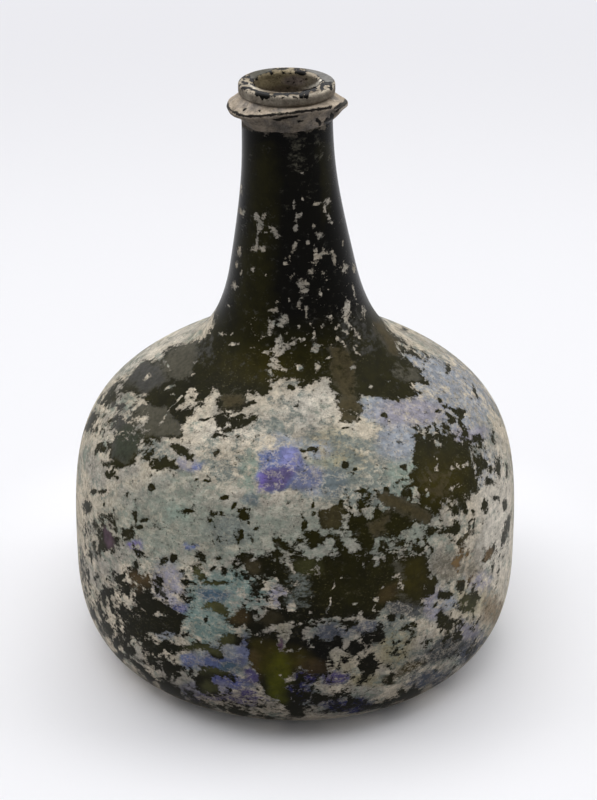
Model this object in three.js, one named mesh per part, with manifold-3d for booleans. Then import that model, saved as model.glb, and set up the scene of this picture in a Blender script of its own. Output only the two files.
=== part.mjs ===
// A free-blown wine bottle of dark green glass: a broad low body, a long swept neck and a hollow pushed
// up into its base. Three pieces of glass make it up: the blown vessel, the thread of glass laid round
// its neck as a string rim, and the rough ring that the pontil rod left inside the hollow of the base.
// Millimetres, +Z up. The origin is on the bottle's axis, on the surface that it stands on. -Y is its
// front.
import * as THREE from "three";
import { mergeVertices } from "three/addons/utils/BufferGeometryUtils.js";
import Module from "manifold-3d";

const wasm = await Module();
wasm.setup();

// Whole bottle
const TOTAL_HEIGHT = 195;
const BODY_RADIUS = 74;
const BELLY_HEIGHT = 31.5; // where the body is widest

// Standing ring and the hollow inside it
const FOOT_RADIUS = 52;
const FOOT_WIDTH = 2.6;
const KICK_HEIGHT = 34;
const KICK_CROWN_PULL = 17;
const KICK_SKIRT_PULL = 15;
const KICK_SKIRT_ANGLE = 56; // degrees below level, where the hollow meets the standing ring

// Heel and side
const HEEL_LOW_PULL = 9;
const HEEL_HIGH_PULL = 27.5;
const SIDE_PULL = 44.5;

// Shoulder, where the body's round turns into the neck's hollow sweep
const SHOULDER_RADIUS = 44.5;
const SHOULDER_HEIGHT = 101;
const SHOULDER_SLOPE = 31; // degrees above level
const SHOULDER_PULL = 31.5;
const SWEEP_PULL = 9;

// Neck
const NECK_FOOT_RADIUS = 20;
const NECK_FOOT_HEIGHT = 135;
const NECK_TAPER = 11; // degrees off upright, at the neck's foot
const NECK_FOOT_LOW_PULL = 27;
const NECK_FOOT_HIGH_PULL = 25.5;
const NECK_TOP_RADIUS = 14.1;
const NECK_TOP_TAPER = 1; // degrees off upright
const NECK_TOP_PULL = 15;
const FINISH_LENGTH = 13; // the straight end of the neck, under the rim and up to the lip

// The handmade neck stands a little off the axis, towards -X
const NECK_LEAN = 2.45;
const LEAN_START = 105;

// Lip and mouth
const LIP_RADIUS = 14.9;
const LIP_DEPTH = 3.2;
const LIP_ROUNDING = 0.9;
const MOUTH_RADIUS = 10.1;
const MOUTH_ROUNDING = 0.8;

// Walls of the vessel
const NECK_WALL = 4.3;
const SHOULDER_WALL = 3.2;
const SIDE_WALL = 3.6;
const FLOOR_THICKNESS = 6.5;
const KICK_WALL = 7;
const TROUGH_RADIUS = 55; // the lowest ring of the inside
const TROUGH_OUTER_PULL = 9;
const TROUGH_INNER_PULL = 6;
const HEEL_INNER_PULL = 16;

// String rim
const RIM_GAP = 0.3;
const RIM_CREST_DROP = 7.6; // below the lip's top
const RIM_BOTTOM_DROP = 12;
const RIM_DEPTH = 4.3; // from the neck's surface to the crest
const RIM_EDGE = 0.7; // half of the crest's blunt edge
const RIM_HOLLOW = 0.6; // how far its two slopes dip
const RIM_WAVE = 0.3; // how far its crest wanders in and out
const RIM_WAVES = 2;
const CREST_RISE = 3.8; // its crest runs higher over one stretch of the front
const CREST_RISE_AT = -65; // degrees round from +X
const CREST_RISE_SPREAD = 94; // degrees to each side

// The end of the thread, lapped under its beginning
const LAP_AT = -28; // degrees round from +X
const LAP_SPREAD = 32; // degrees to each side
const LAP_DROP = 8.2; // below the lip's top
const LAP_HALF_HEIGHT = 1.9;
const LAP_DEPTH = 3.2;
const LAP_TIP_DEPTH = 0.5;
const LAP_FULLNESS = 0.8; // its depth halfway up, as a share of its depth at the middle

// Pontil scar
const SCAR_GAP = 0.3;
const SCAR_INNER_RADIUS = 19.5;
const SCAR_WIDTH = 4.2;
const SCAR_THICKNESS = 1.8;
const SCAR_RAGGED = 0.7; // how far its broken edge rises and falls
const SCAR_TEETH = 11;
const SCAR_LOBES = 2; // its teeth grow and shrink this many times round the ring

// Fineness of the solids
const ROUND_STEPS = 48;
const WELD_DISTANCE = 1e-4; // points closer than this are one point
const SEARCH_HALVINGS = 40;

// Plain colours of the pieces
const CRUSTED_GLASS = 0x8c8878;
const PALE_CRUST = 0xa39c8d;
const GREEN_GLASS = 0x3a3a1c;

const point = (r, z) => new THREE.Vector2(r, z);

// A direction in the profile's plane: 0 is outwards from the axis and 90 is up.
function heading(degrees) {
  const angle = THREE.MathUtils.degToRad(degrees);
  return new THREE.Vector2(Math.cos(angle), Math.sin(angle));
}

// A curve that leaves one point along a heading and arrives at the next along another.
function bend(start, startHeading, startPull, end, endHeading, endPull) {
  const leave = start.clone().addScaledVector(startHeading, startPull);
  const arrive = end.clone().addScaledVector(endHeading, -endPull);
  return new THREE.CubicBezierCurve(start, leave, arrive, end);
}

// Joins stretches of [curve or point, steps] into one list of points.
function outline(stretches) {
  const points = [];
  for (const [shape, steps] of stretches) {
    const found = shape.isVector2 ? [shape] : shape.getPoints(steps);
    for (const p of found) {
      if (!points.length || points.at(-1).distanceTo(p) > WELD_DISTANCE) points.push(p);
    }
  }
  return points;
}

// How far the neck has moved off the axis at a height.
function leanAt(z) {
  return -NECK_LEAN * THREE.MathUtils.smoothstep(z, LEAN_START, TOTAL_HEIGHT);
}

function withLean(geometry) {
  const position = geometry.getAttribute("position");
  for (let i = 0; i < position.count; i++) {
    position.setX(i, position.getX(i) + leanAt(position.getZ(i)));
  }
  return geometry;
}

// Turns a profile of (radius, height) about +Z.
function turned(points) {
  return new THREE.LatheGeometry(points, ROUND_STEPS).rotateX(Math.PI / 2);
}

const out = heading(0);
const up = heading(90);
const intoAxis = heading(180);
const down = heading(-90);
const shoulderRise = heading(180 - SHOULDER_SLOPE);
const neckRise = heading(90 + NECK_TAPER);
const neckTopRise = heading(90 + NECK_TOP_TAPER);
const neckTopHeight = TOTAL_HEIGHT - FINISH_LENGTH;

// The hollow under the base, seen from below: from its crown down to the standing ring.
const kickUnder = bend(
  point(0, KICK_HEIGHT), out, KICK_CROWN_PULL,
  point(FOOT_RADIUS - FOOT_WIDTH, 0), heading(-KICK_SKIRT_ANGLE), KICK_SKIRT_PULL,
);

// The height of that hollow's surface at a radius.
function kickHeightAt(radius) {
  let low = 0;
  let high = 1;
  for (let i = 0; i < SEARCH_HALVINGS; i++) {
    const middle = (low + high) / 2;
    if (kickUnder.getPoint(middle).x < radius) low = middle;
    else high = middle;
  }
  return kickUnder.getPoint(low).y;
}

// The outside of the vessel, from the centre of the hollow to the flat top of the lip.
function outerStretches() {
  const foot = point(FOOT_RADIUS, 0);
  const belly = point(BODY_RADIUS, BELLY_HEIGHT);
  const shoulder = point(SHOULDER_RADIUS, SHOULDER_HEIGHT);
  const neckFoot = point(NECK_FOOT_RADIUS, NECK_FOOT_HEIGHT);
  const neckTop = point(NECK_TOP_RADIUS, neckTopHeight);
  const lipFoot = point(LIP_RADIUS, TOTAL_HEIGHT - LIP_DEPTH);
  const lipSide = point(LIP_RADIUS, TOTAL_HEIGHT - LIP_ROUNDING);
  const lipTop = point(LIP_RADIUS - LIP_ROUNDING, TOTAL_HEIGHT);
  return [
    [kickUnder, 9],
    [foot, 1],
    [bend(foot, out, HEEL_LOW_PULL, belly, up, HEEL_HIGH_PULL), 8],
    [bend(belly, up, SIDE_PULL, shoulder, shoulderRise, SHOULDER_PULL), 11],
    [bend(shoulder, shoulderRise, SWEEP_PULL, neckFoot, neckRise, NECK_FOOT_LOW_PULL), 7],
    [bend(neckFoot, neckRise, NECK_FOOT_HIGH_PULL, neckTop, neckTopRise, NECK_TOP_PULL), 4],
    [point(NECK_TOP_RADIUS, TOTAL_HEIGHT - LIP_DEPTH), 1],
    [lipFoot, 1],
    [bend(lipSide, up, LIP_ROUNDING / 2, lipTop, intoAxis, LIP_ROUNDING / 2), 2],
  ];
}

// The inside of the vessel, from the mouth down to the crown of the hollow's dome.
function innerStretches() {
  const mouthTop = point(MOUTH_RADIUS + MOUTH_ROUNDING, TOTAL_HEIGHT);
  const mouthSide = point(MOUTH_RADIUS, TOTAL_HEIGHT - MOUTH_ROUNDING);
  const neckTop = point(NECK_TOP_RADIUS - NECK_WALL, neckTopHeight);
  const neckFoot = point(NECK_FOOT_RADIUS - NECK_WALL, NECK_FOOT_HEIGHT);
  const shoulderInwards = heading(-90 - SHOULDER_SLOPE);
  const shoulder = point(SHOULDER_RADIUS, SHOULDER_HEIGHT).addScaledVector(shoulderInwards, SHOULDER_WALL);
  const belly = point(BODY_RADIUS - SIDE_WALL, BELLY_HEIGHT);
  const trough = point(TROUGH_RADIUS, FLOOR_THICKNESS);
  const crown = point(0, KICK_HEIGHT + KICK_WALL);
  const shoulderFall = shoulderRise.clone().negate();
  const neckFall = neckRise.clone().negate();
  const neckTopFall = neckTopRise.clone().negate();
  return [
    [bend(mouthTop, intoAxis, MOUTH_ROUNDING / 2, mouthSide, down, MOUTH_ROUNDING / 2), 2],
    [bend(neckTop, neckTopFall, NECK_TOP_PULL, neckFoot, neckFall, NECK_FOOT_HIGH_PULL), 4],
    [bend(neckFoot, neckFall, NECK_FOOT_LOW_PULL, shoulder, shoulderFall, SWEEP_PULL), 6],
    [bend(shoulder, shoulderFall, SHOULDER_PULL, belly, down, SIDE_PULL), 9],
    [bend(belly, down, HEEL_INNER_PULL, trough, intoAxis, TROUGH_OUTER_PULL), 6],
    [bend(trough, intoAxis, TROUGH_INNER_PULL, crown, intoAxis, KICK_CROWN_PULL), 7],
  ];
}

function vesselGeometry() {
  return withLean(turned(outline([...outerStretches(), ...innerStretches()])));
}

// A smooth hump: 1 at its middle and 0 from the spread outwards. Angles are in degrees.
function hump(angle, middle, spread) {
  const away = Math.abs(THREE.MathUtils.euclideanModulo(angle - middle + 180, 360) - 180);
  return away < spread ? Math.cos((away / spread) * (Math.PI / 2)) ** 2 : 0;
}

// The rim's section at an angle round the neck, as (radius, height), going round it from its inner foot.
function rimSection(degrees) {
  const inside = NECK_TOP_RADIUS + RIM_GAP;
  const wander = RIM_WAVE * Math.cos(THREE.MathUtils.degToRad(RIM_WAVES * degrees));
  const crest = NECK_TOP_RADIUS + RIM_DEPTH + wander;
  const bottom = TOTAL_HEIGHT - RIM_BOTTOM_DROP;
  const top = TOTAL_HEIGHT - LIP_DEPTH - RIM_GAP;
  const rise = CREST_RISE * hump(degrees, CREST_RISE_AT, CREST_RISE_SPREAD);
  const middle = TOTAL_HEIGHT - RIM_CREST_DROP + rise;
  const halfway = (inside + crest) / 2 - RIM_HOLLOW;
  return [
    point(inside, bottom),
    point(halfway, (bottom + middle) / 2),
    point(crest - RIM_EDGE / 2, middle - RIM_EDGE),
    point(crest, middle),
    point(crest - RIM_EDGE / 2, middle + RIM_EDGE),
    point(halfway, (top + middle) / 2),
    point(inside, top),
  ];
}

// The lapped end's section, whose depth fades to a tip at both ends of its stretch.
function lapSection(degrees) {
  const inside = NECK_TOP_RADIUS + RIM_GAP;
  const depth = LAP_TIP_DEPTH + (LAP_DEPTH - LAP_TIP_DEPTH) * hump(degrees, LAP_AT, LAP_SPREAD);
  const middle = TOTAL_HEIGHT - LAP_DROP;
  return [
    point(inside, middle - LAP_HALF_HEIGHT),
    point(inside + depth * LAP_FULLNESS, middle - LAP_HALF_HEIGHT / 2),
    point(inside + depth, middle),
    point(inside + depth * LAP_FULLNESS, middle + LAP_HALF_HEIGHT / 2),
    point(inside, middle + LAP_HALF_HEIGHT),
  ];
}

// A closed solid through sections placed round the axis at a list of angles. A full ring joins its last
// section to its first, and a part of a ring gets a flat cap at each end.
function aroundAxis(sectionAt, angles, isRing) {
  const sections = angles.map(sectionAt);
  const size = sections[0].length;
  const vertices = [];
  sections.forEach((section, i) => {
    const angle = THREE.MathUtils.degToRad(angles[i]);
    for (const p of section) vertices.push(p.x * Math.cos(angle), p.x * Math.sin(angle), p.y);
  });
  const index = [];
  const spans = isRing ? sections.length : sections.length - 1;
  for (let i = 0; i < spans; i++) {
    const here = i * size;
    const next = ((i + 1) % sections.length) * size;
    for (let j = 0; j < size; j++) {
      const k = (j + 1) % size;
      index.push(here + j, next + j, next + k, here + j, next + k, here + k);
    }
  }
  if (!isRing) {
    const last = (sections.length - 1) * size;
    for (let j = 1; j < size - 1; j++) {
      index.push(0, j, j + 1);
      index.push(last, last + j + 1, last + j);
    }
  }
  const geometry = new THREE.BufferGeometry();
  geometry.setAttribute("position", new THREE.Float32BufferAttribute(vertices, 3));
  geometry.setIndex(index);
  return geometry;
}

// A closed geometry as a solid that can be joined or cut.
function solid(geometry) {
  const bare = new THREE.BufferGeometry();
  bare.setAttribute("position", geometry.getAttribute("position"));
  bare.setIndex(geometry.getIndex());
  const merged = mergeVertices(bare, WELD_DISTANCE);
  const mesh = new wasm.Mesh({
    numProp: 3,
    vertProperties: new Float32Array(merged.getAttribute("position").array),
    triVerts: new Uint32Array(merged.getIndex().array),
  });
  return new wasm.Manifold(mesh);
}

function geometryOf(manifold) {
  const mesh = manifold.getMesh();
  const geometry = new THREE.BufferGeometry();
  geometry.setAttribute("position", new THREE.Float32BufferAttribute(mesh.vertProperties, 3));
  geometry.setIndex(Array.from(mesh.triVerts));
  return geometry;
}

// The string rim, whose angles are those of the vessel's own facets, so that the gap between them is even.
function rimGeometry() {
  const step = 360 / ROUND_STEPS;
  const ringAngles = Array.from({ length: ROUND_STEPS }, (_, i) => i * step);
  const lapStart = Math.round((LAP_AT - LAP_SPREAD) / step);
  const lapEnd = Math.round((LAP_AT + LAP_SPREAD) / step);
  const lapAngles = [];
  for (let i = lapStart; i <= lapEnd; i++) lapAngles.push(i * step);
  const ring = solid(aroundAxis(rimSection, ringAngles, true));
  const lap = solid(aroundAxis(lapSection, lapAngles, false));
  return withLean(geometryOf(ring.add(lap)));
}

// The pontil scar's section: its back follows the hollow's surface and its broken face is ragged.
function scarSection(degrees) {
  const turn = THREE.MathUtils.degToRad(degrees);
  const ragged = SCAR_RAGGED * Math.sin(SCAR_TEETH * turn) * Math.cos(SCAR_LOBES * turn);
  const inner = SCAR_INNER_RADIUS;
  const outer = SCAR_INNER_RADIUS + SCAR_WIDTH;
  const middle = SCAR_INNER_RADIUS + SCAR_WIDTH / 2;
  const innerTop = kickHeightAt(inner) - SCAR_GAP;
  const outerTop = kickHeightAt(outer) - SCAR_GAP;
  return [
    point(inner, innerTop - SCAR_THICKNESS / 2),
    point(middle, (innerTop + outerTop) / 2 - SCAR_THICKNESS - ragged),
    point(outer, outerTop - SCAR_THICKNESS / 2),
    point(outer, outerTop),
    point(inner, innerTop),
  ];
}

function scarGeometry() {
  const step = 360 / ROUND_STEPS;
  const angles = Array.from({ length: ROUND_STEPS }, (_, i) => i * step);
  return aroundAxis(scarSection, angles, true);
}

function piece(name, geometry, colour, roughness) {
  const material = new THREE.MeshStandardMaterial({ color: colour, roughness, metalness: 0 });
  const mesh = new THREE.Mesh(geometry, material);
  mesh.name = name;
  return mesh;
}

const bottle = new THREE.Group();
bottle.add(
  piece("vessel", vesselGeometry(), CRUSTED_GLASS, 0.6),
  piece("string_rim", rimGeometry(), PALE_CRUST, 0.75),
  piece("pontil_scar", scarGeometry(), GREEN_GLASS, 0.5),
);

export default bottle;
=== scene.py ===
"""A weathered wine bottle: dark olive glass under a flaking beige crust, on a pale studio floor."""
import math

import bpy
import numpy as np
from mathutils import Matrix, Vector


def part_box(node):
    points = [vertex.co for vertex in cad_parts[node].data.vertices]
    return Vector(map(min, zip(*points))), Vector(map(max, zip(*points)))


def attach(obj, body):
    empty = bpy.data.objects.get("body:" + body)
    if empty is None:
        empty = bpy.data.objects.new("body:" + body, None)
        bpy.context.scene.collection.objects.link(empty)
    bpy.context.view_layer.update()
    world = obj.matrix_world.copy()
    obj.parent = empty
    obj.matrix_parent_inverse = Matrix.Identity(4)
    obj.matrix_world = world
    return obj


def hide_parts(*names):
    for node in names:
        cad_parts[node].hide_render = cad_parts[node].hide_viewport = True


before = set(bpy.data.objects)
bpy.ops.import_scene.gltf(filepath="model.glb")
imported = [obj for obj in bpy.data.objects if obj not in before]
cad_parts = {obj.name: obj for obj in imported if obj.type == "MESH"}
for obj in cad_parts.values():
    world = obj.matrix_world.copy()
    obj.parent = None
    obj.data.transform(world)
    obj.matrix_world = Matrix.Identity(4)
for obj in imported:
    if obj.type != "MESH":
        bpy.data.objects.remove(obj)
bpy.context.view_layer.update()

MM = 0.001

# The photograph's frame and the camera that fits its outline
PHOTO_WIDTH, PHOTO_HEIGHT = 597, 800
LENS_MM, SENSOR_MM = 90, 36
CAMERA_PITCH = math.radians(26.77)
CAMERA_DISTANCE = 0.660
CAMERA_TARGET = Vector((0.00116, 0, 0.0860))

# The bottle's sizes, in millimetres: the driving ones as the frame has them, the others as the solids do
TOTAL_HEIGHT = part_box("vessel")[1][2] / MM
BODY_RADIUS = (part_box("vessel")[1][1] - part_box("vessel")[0][1]) / 2 / MM
BELLY_HEIGHT = 31.5
FOOT_RADIUS, FOOT_WIDTH, KICK_HEIGHT = 52, 2.6, 34
SHOULDER_RADIUS, SHOULDER_HEIGHT, SHOULDER_SLOPE = 44.5, 101, 31
NECK_FOOT_RADIUS, NECK_FOOT_HEIGHT, NECK_TAPER = 20, 135, 11
NECK_TOP_RADIUS, NECK_TOP_TAPER, FINISH_LENGTH = 14.1, 1, 13
NECK_LEAN, LEAN_START = 2.45, 105
NECK_WALL, SHOULDER_WALL, SIDE_WALL, BASE_WALL, KICK_WALL = 4.3, 3.2, 3.6, 6.5, 7
TROUGH_RADIUS = 55

# How far the two ends of each curve in the section pull it along their headings
KICK_CROWN_PULL, KICK_SKIRT_PULL, KICK_SKIRT_ANGLE = 17, 15, 56
HEEL_LOW_PULL, HEEL_HIGH_PULL, HEEL_INNER_PULL = 9, 27.5, 16
SIDE_PULL, SHOULDER_PULL, SWEEP_PULL = 44.5, 31.5, 9
NECK_FOOT_LOW_PULL, NECK_FOOT_HIGH_PULL, NECK_TOP_PULL = 27, 25.5, 15
TROUGH_OUTER_PULL, TROUGH_INNER_PULL = 9, 6

# The lip: it swells out of the neck from just below its foot, and its edges are rounded
LIP_RADIUS, LIP_DEPTH, LIP_ROUNDING, LIP_ROUNDING_PULL = 14.9, 3.2, 0.9, 0.6
LIP_FOOT = TOTAL_HEIGHT - LIP_DEPTH
SWELL_BELOW, SWELL_ABOVE, SWELL_START, SWELL_PULLS = 0.3, 0.7, 0.1, (0.5, 0.4)
MOUTH_RADIUS, MOUTH_ROUNDING, MOUTH_PULL = 10.1, 0.8, 0.4

# The string rim: drops are below the lip's top, and its crest rises over a stretch of the front
RIM_CREST_DROP, RIM_BOTTOM_DROP, RIM_DEPTH = 7.6, 12, 4.3
RIM_TOP_DROP = LIP_DEPTH + 0.2
RIM_WAVE, RIM_WAVES, RIM_RIPPLE, RIM_RIPPLES, RIM_BOTTOM_WAVE = 0.3, 2, 0.12, 7, 0.4
RIPPLES_TURN = 1
RIM_SINK, RIM_TOP_BATTER = 0.15, 0.1
CREST_WIDTH, CREST_BELOW, CREST_ABOVE = 0.5, 0.75, 0.65
CREST_RISE, CREST_RISE_AT, CREST_RISE_SPREAD = 3.8, -65, 94
LAP_AT, LAP_SPREAD, LAP_DROP, LAP_DEPTH, LAP_HALF_HEIGHT = -28, 32, 8.2, 1.5, 2.1
RIM_LUMPS, RIM_PIMPLES = 0.16, 0.07

# The headings and pulls of the rim's underside, its crest and its upper slope
UNDERSIDE_START, UNDERSIDE_END, UNDERSIDE_PULLS = 72, 28, (3.0, 1.6)
CREST_START, CREST_END, CREST_PULL = 40, 150, 0.55
UPPER_END, UPPER_PULL = 125, 1.0

# The pontil scar
SCAR_RADIUS, SCAR_WIDTH, SCAR_THICKNESS, SCAR_BED = 21.6, 4.2, 1.8, 0.2
SCAR_TEETH, SCAR_WORN, SCAR_BROKEN_SIDE = 0.55, 0.2, 0.3

# How finely the bottle is drawn
FRONT_STEPS, BACK_STEPS = 360, 120
BODY_STEP, NECK_STEP, FINISH_STEP = 0.85, 0.6, 0.33
KICK_STEP, INSIDE_STEP = 2.6, 7
SCAR_COLUMNS, SCAR_RINGS = 240, 14

# How many points each bend of a section is worked out at, before they are spaced evenly
BEND_POINTS, LIP_BEND_POINTS = 400, 20

# How many points the rim's section has along its underside, its crest, its upper slope and its back
UNDERSIDE_POINTS, CREST_POINTS, UPPER_POINTS, BACK_POINTS = 16, 9, 10, 5

# Points closer than the first, in millimetres, are one, and no divisor is smaller than the second
SAME_PLACE, SMALLEST = 1e-6, 1e-9


def heading(degrees):
    return np.array([math.cos(math.radians(degrees)), math.sin(math.radians(degrees))])


def bend(start, start_heading, start_pull, end, end_heading, end_pull, count=BEND_POINTS):
    """Points on a curve that leaves start along one heading and arrives at end along another."""
    start, end = np.array(start, float), np.array(end, float)
    a, b = start + heading(start_heading) * start_pull, end - heading(end_heading) * end_pull
    t = np.linspace(0, 1, count)[:, None]
    return (1 - t) ** 3 * start + 3 * t * (1 - t) ** 2 * a + 3 * t * t * (1 - t) * b + t ** 3 * end


def lengths(line):
    """How long each piece of a line of points is."""
    return np.hypot(*np.diff(line, axis=0).T)


def even(stretches, step):
    """Joins stretches of points into one line, then spaces its points evenly."""
    line = np.vstack(stretches)
    line = line[np.r_[True, lengths(line) > SAME_PLACE]]
    along = np.r_[0, np.cumsum(lengths(line))]
    count = max(2, round(along[-1] / step))
    at = np.linspace(0, along[-1], count + 1)
    return np.column_stack([np.interp(at, along, line[:, 0]), np.interp(at, along, line[:, 1])])


def smooth(x, low, high):
    t = np.clip((x - low) / (high - low), 0, 1)
    return t * t * (3 - 2 * t)


def lean_at(z):
    """How far the neck has moved off the axis at a height, in millimetres."""
    return -NECK_LEAN * smooth(z, LEAN_START, TOTAL_HEIGHT)


UP, OUT, IN, DOWN = 90, 0, 180, -90
NECK_TOP = (NECK_TOP_RADIUS, TOTAL_HEIGHT - FINISH_LENGTH)
NECK_FOOT = (NECK_FOOT_RADIUS, NECK_FOOT_HEIGHT)
SHOULDER = (SHOULDER_RADIUS, SHOULDER_HEIGHT)
BELLY = (BODY_RADIUS, BELLY_HEIGHT)
LIP_TOP_EDGE = (LIP_RADIUS - LIP_ROUNDING, TOTAL_HEIGHT)
BORE_TOP = (NECK_TOP_RADIUS - NECK_WALL, TOTAL_HEIGHT - FINISH_LENGTH)


def kick_line():
    skirt = (FOOT_RADIUS - FOOT_WIDTH, 0)
    return bend((0, KICK_HEIGHT), OUT, KICK_CROWN_PULL, skirt, -KICK_SKIRT_ANGLE, KICK_SKIRT_PULL)


def outside_line():
    foot, slope = (FOOT_RADIUS, 0), IN - SHOULDER_SLOPE
    return [
        [(FOOT_RADIUS - FOOT_WIDTH, 0)],
        bend(foot, OUT, HEEL_LOW_PULL, BELLY, UP, HEEL_HIGH_PULL),
        bend(BELLY, UP, SIDE_PULL, SHOULDER, slope, SHOULDER_PULL),
        bend(SHOULDER, slope, SWEEP_PULL, NECK_FOOT, UP + NECK_TAPER, NECK_FOOT_LOW_PULL),
    ]


def neck_line():
    return [
        bend(NECK_FOOT, UP + NECK_TAPER, NECK_FOOT_HIGH_PULL, NECK_TOP, UP + NECK_TOP_TAPER, NECK_TOP_PULL),
    ]


def finish_line():
    swell = (NECK_TOP_RADIUS + SWELL_START, LIP_FOOT - SWELL_BELOW / 2)
    side_foot, side_top = (LIP_RADIUS, LIP_FOOT + SWELL_ABOVE), (LIP_RADIUS, TOTAL_HEIGHT - LIP_ROUNDING)
    return [
        [NECK_TOP, (NECK_TOP_RADIUS, LIP_FOOT - SWELL_BELOW)],
        bend(swell, OUT, SWELL_PULLS[0], side_foot, UP, SWELL_PULLS[1], LIP_BEND_POINTS),
        bend(side_top, UP, LIP_ROUNDING_PULL, LIP_TOP_EDGE, IN, LIP_ROUNDING_PULL, LIP_BEND_POINTS),
    ]


def inside_line():
    across, slope = heading(DOWN - SHOULDER_SLOPE), -SHOULDER_SLOPE
    shoulder = np.array(SHOULDER) + across * SHOULDER_WALL
    neck_foot = (NECK_FOOT_RADIUS - NECK_WALL, NECK_FOOT_HEIGHT)
    belly, trough = (BODY_RADIUS - SIDE_WALL, BELLY_HEIGHT), (TROUGH_RADIUS, BASE_WALL)
    crown = (0, KICK_HEIGHT + KICK_WALL)
    neck_top_heading, neck_heading = DOWN + NECK_TOP_TAPER, DOWN + NECK_TAPER
    return [
        bend(BORE_TOP, neck_top_heading, NECK_TOP_PULL, neck_foot, neck_heading, NECK_FOOT_HIGH_PULL),
        bend(neck_foot, neck_heading, NECK_FOOT_LOW_PULL, shoulder, slope, SWEEP_PULL),
        bend(shoulder, slope, SHOULDER_PULL, belly, DOWN, SIDE_PULL),
        bend(belly, DOWN, HEEL_INNER_PULL, trough, IN, TROUGH_OUTER_PULL),
        bend(trough, IN, TROUGH_INNER_PULL, crown, IN, KICK_CROWN_PULL),
    ]


def mouth_line():
    inner_edge = (MOUTH_RADIUS + MOUTH_ROUNDING, TOTAL_HEIGHT)
    bore = (MOUTH_RADIUS, TOTAL_HEIGHT - MOUTH_ROUNDING)
    edge = bend(inner_edge, IN, MOUTH_PULL, bore, DOWN, MOUTH_PULL, LIP_BEND_POINTS)
    return [[LIP_TOP_EDGE], edge, [BORE_TOP]]


# The zones of the vessel's surface, from the crown of the kick round to the inside
KICK_ZONE, OUTSIDE_ZONE, MOUTH_ZONE, INSIDE_ZONE = range(4)


def vessel_profile():
    """The whole section as (radius, height), with the zone of each point."""
    parts = [
        (KICK_ZONE, even([kick_line()], KICK_STEP)[1:]),
        (OUTSIDE_ZONE, even(outside_line(), BODY_STEP)),
        (OUTSIDE_ZONE, even(neck_line(), NECK_STEP)),
        (OUTSIDE_ZONE, even(finish_line(), FINISH_STEP)),
        (MOUTH_ZONE, even(mouth_line(), FINISH_STEP)),
        (INSIDE_ZONE, even(inside_line(), INSIDE_STEP)[:-1]),
    ]
    points, zones = [], []
    for zone, line in parts:
        start = 1 if points else 0
        points.extend(line[start:])
        zones.extend([zone] * (len(line) - start))
    return np.array(points), np.array(zones)


def front_angles():
    """Angles round the axis from +X, close together over the front half."""
    front = np.linspace(-math.pi, 0, FRONT_STEPS, endpoint=False)
    back = np.linspace(0, math.pi, BACK_STEPS, endpoint=False)
    return np.r_[front, back]


# Large odd numbers that scatter the corners of the noise's cells, the widths that they are cut to, and
# by how many bits they are stirred
SCATTER = (73856093, 19349663, 83492791)
SEED_SCATTER, STIR = 2654435761, 1274126177
WORD, HALF_WORD = 0xFFFFFFFF, 0xFFFF
FIRST_STIR, SECOND_STIR = 13, 16

# How far one seed's cells, and one octave's, lie from the next one's, so that their corners don't meet
SEED_SHIFT, OCTAVE_SHIFT = 17.31, 5.7


def scattered(at, seed, octave):
    """A value of -1 to 1 for each corner of a cell, the same on every run."""
    mixed = seed * SEED_SCATTER + octave
    for axis, factor in enumerate(SCATTER):
        mixed = mixed ^ at[:, axis] * factor
    mixed = mixed & WORD
    mixed = (mixed ^ mixed >> FIRST_STIR) * STIR & WORD
    mixed = (mixed ^ mixed >> SECOND_STIR) & HALF_WORD
    return mixed / (HALF_WORD / 2) - 1


def value_noise(points, cell, seed, octaves=4, gain=0.5):
    """Smooth seeded noise in 3D, about -1 to 1, with its largest features one cell wide."""
    total, weight = np.zeros(len(points)), 0
    for octave in range(octaves):
        place = points / (cell / 2 ** octave) + seed * SEED_SHIFT + octave * OCTAVE_SHIFT
        low = np.floor(place).astype(np.int64)
        t = smooth(place - low, 0, 1)
        result = np.zeros(len(points))
        for corner in range(8):
            bits = np.array([corner & 1, corner >> 1 & 1, corner >> 2 & 1])
            share = np.prod(np.where(bits, t, 1 - t), axis=1)
            result += share * scattered(low + bits, seed, octave)
        total += result * gain ** octave
        weight += gain ** octave
    return total / weight


# Patterns of this noise: the width of a cell in millimetres, the seed, the octaves, and what share each
# octave has of the one before. The flakes are squeezed along the height.
LUMPS, PIMPLES, TEETH = (5, 11), (1.4, 12, 2), (3, 21)
PATCHY, FLAKY, FLAKE_SQUEEZE = (34, 1, 3), (8, 6, 4, 0.62), (1, 1, 1.4)
FILM_PATCHES, STAIN_PATCHES = (30, 4, 3), (24, 8, 3)
BODY_PATCHES, BODY_CRUMBS, BODY_SPECKS = (4.2, 51, 3, 0.6), (2.3, 59, 3, 0.65), (1.9, 58, 3, 0.7)
BODY_STAINS, RIM_STAINS = (7, 54, 3), (5, 62, 3)
LIP_CRUMBS, RIM_CRUMBS, SCAR_CRUMBS = (1.7, 66, 3, 0.6), (6, 32), (6, 31)
WANDER_SEEDS, WANDER_OCTAVES, WANDER_GAIN = (41, 42), 3, 0.6
TONE_OCTAVES, TONE_GAIN = 4, 0.6


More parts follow.
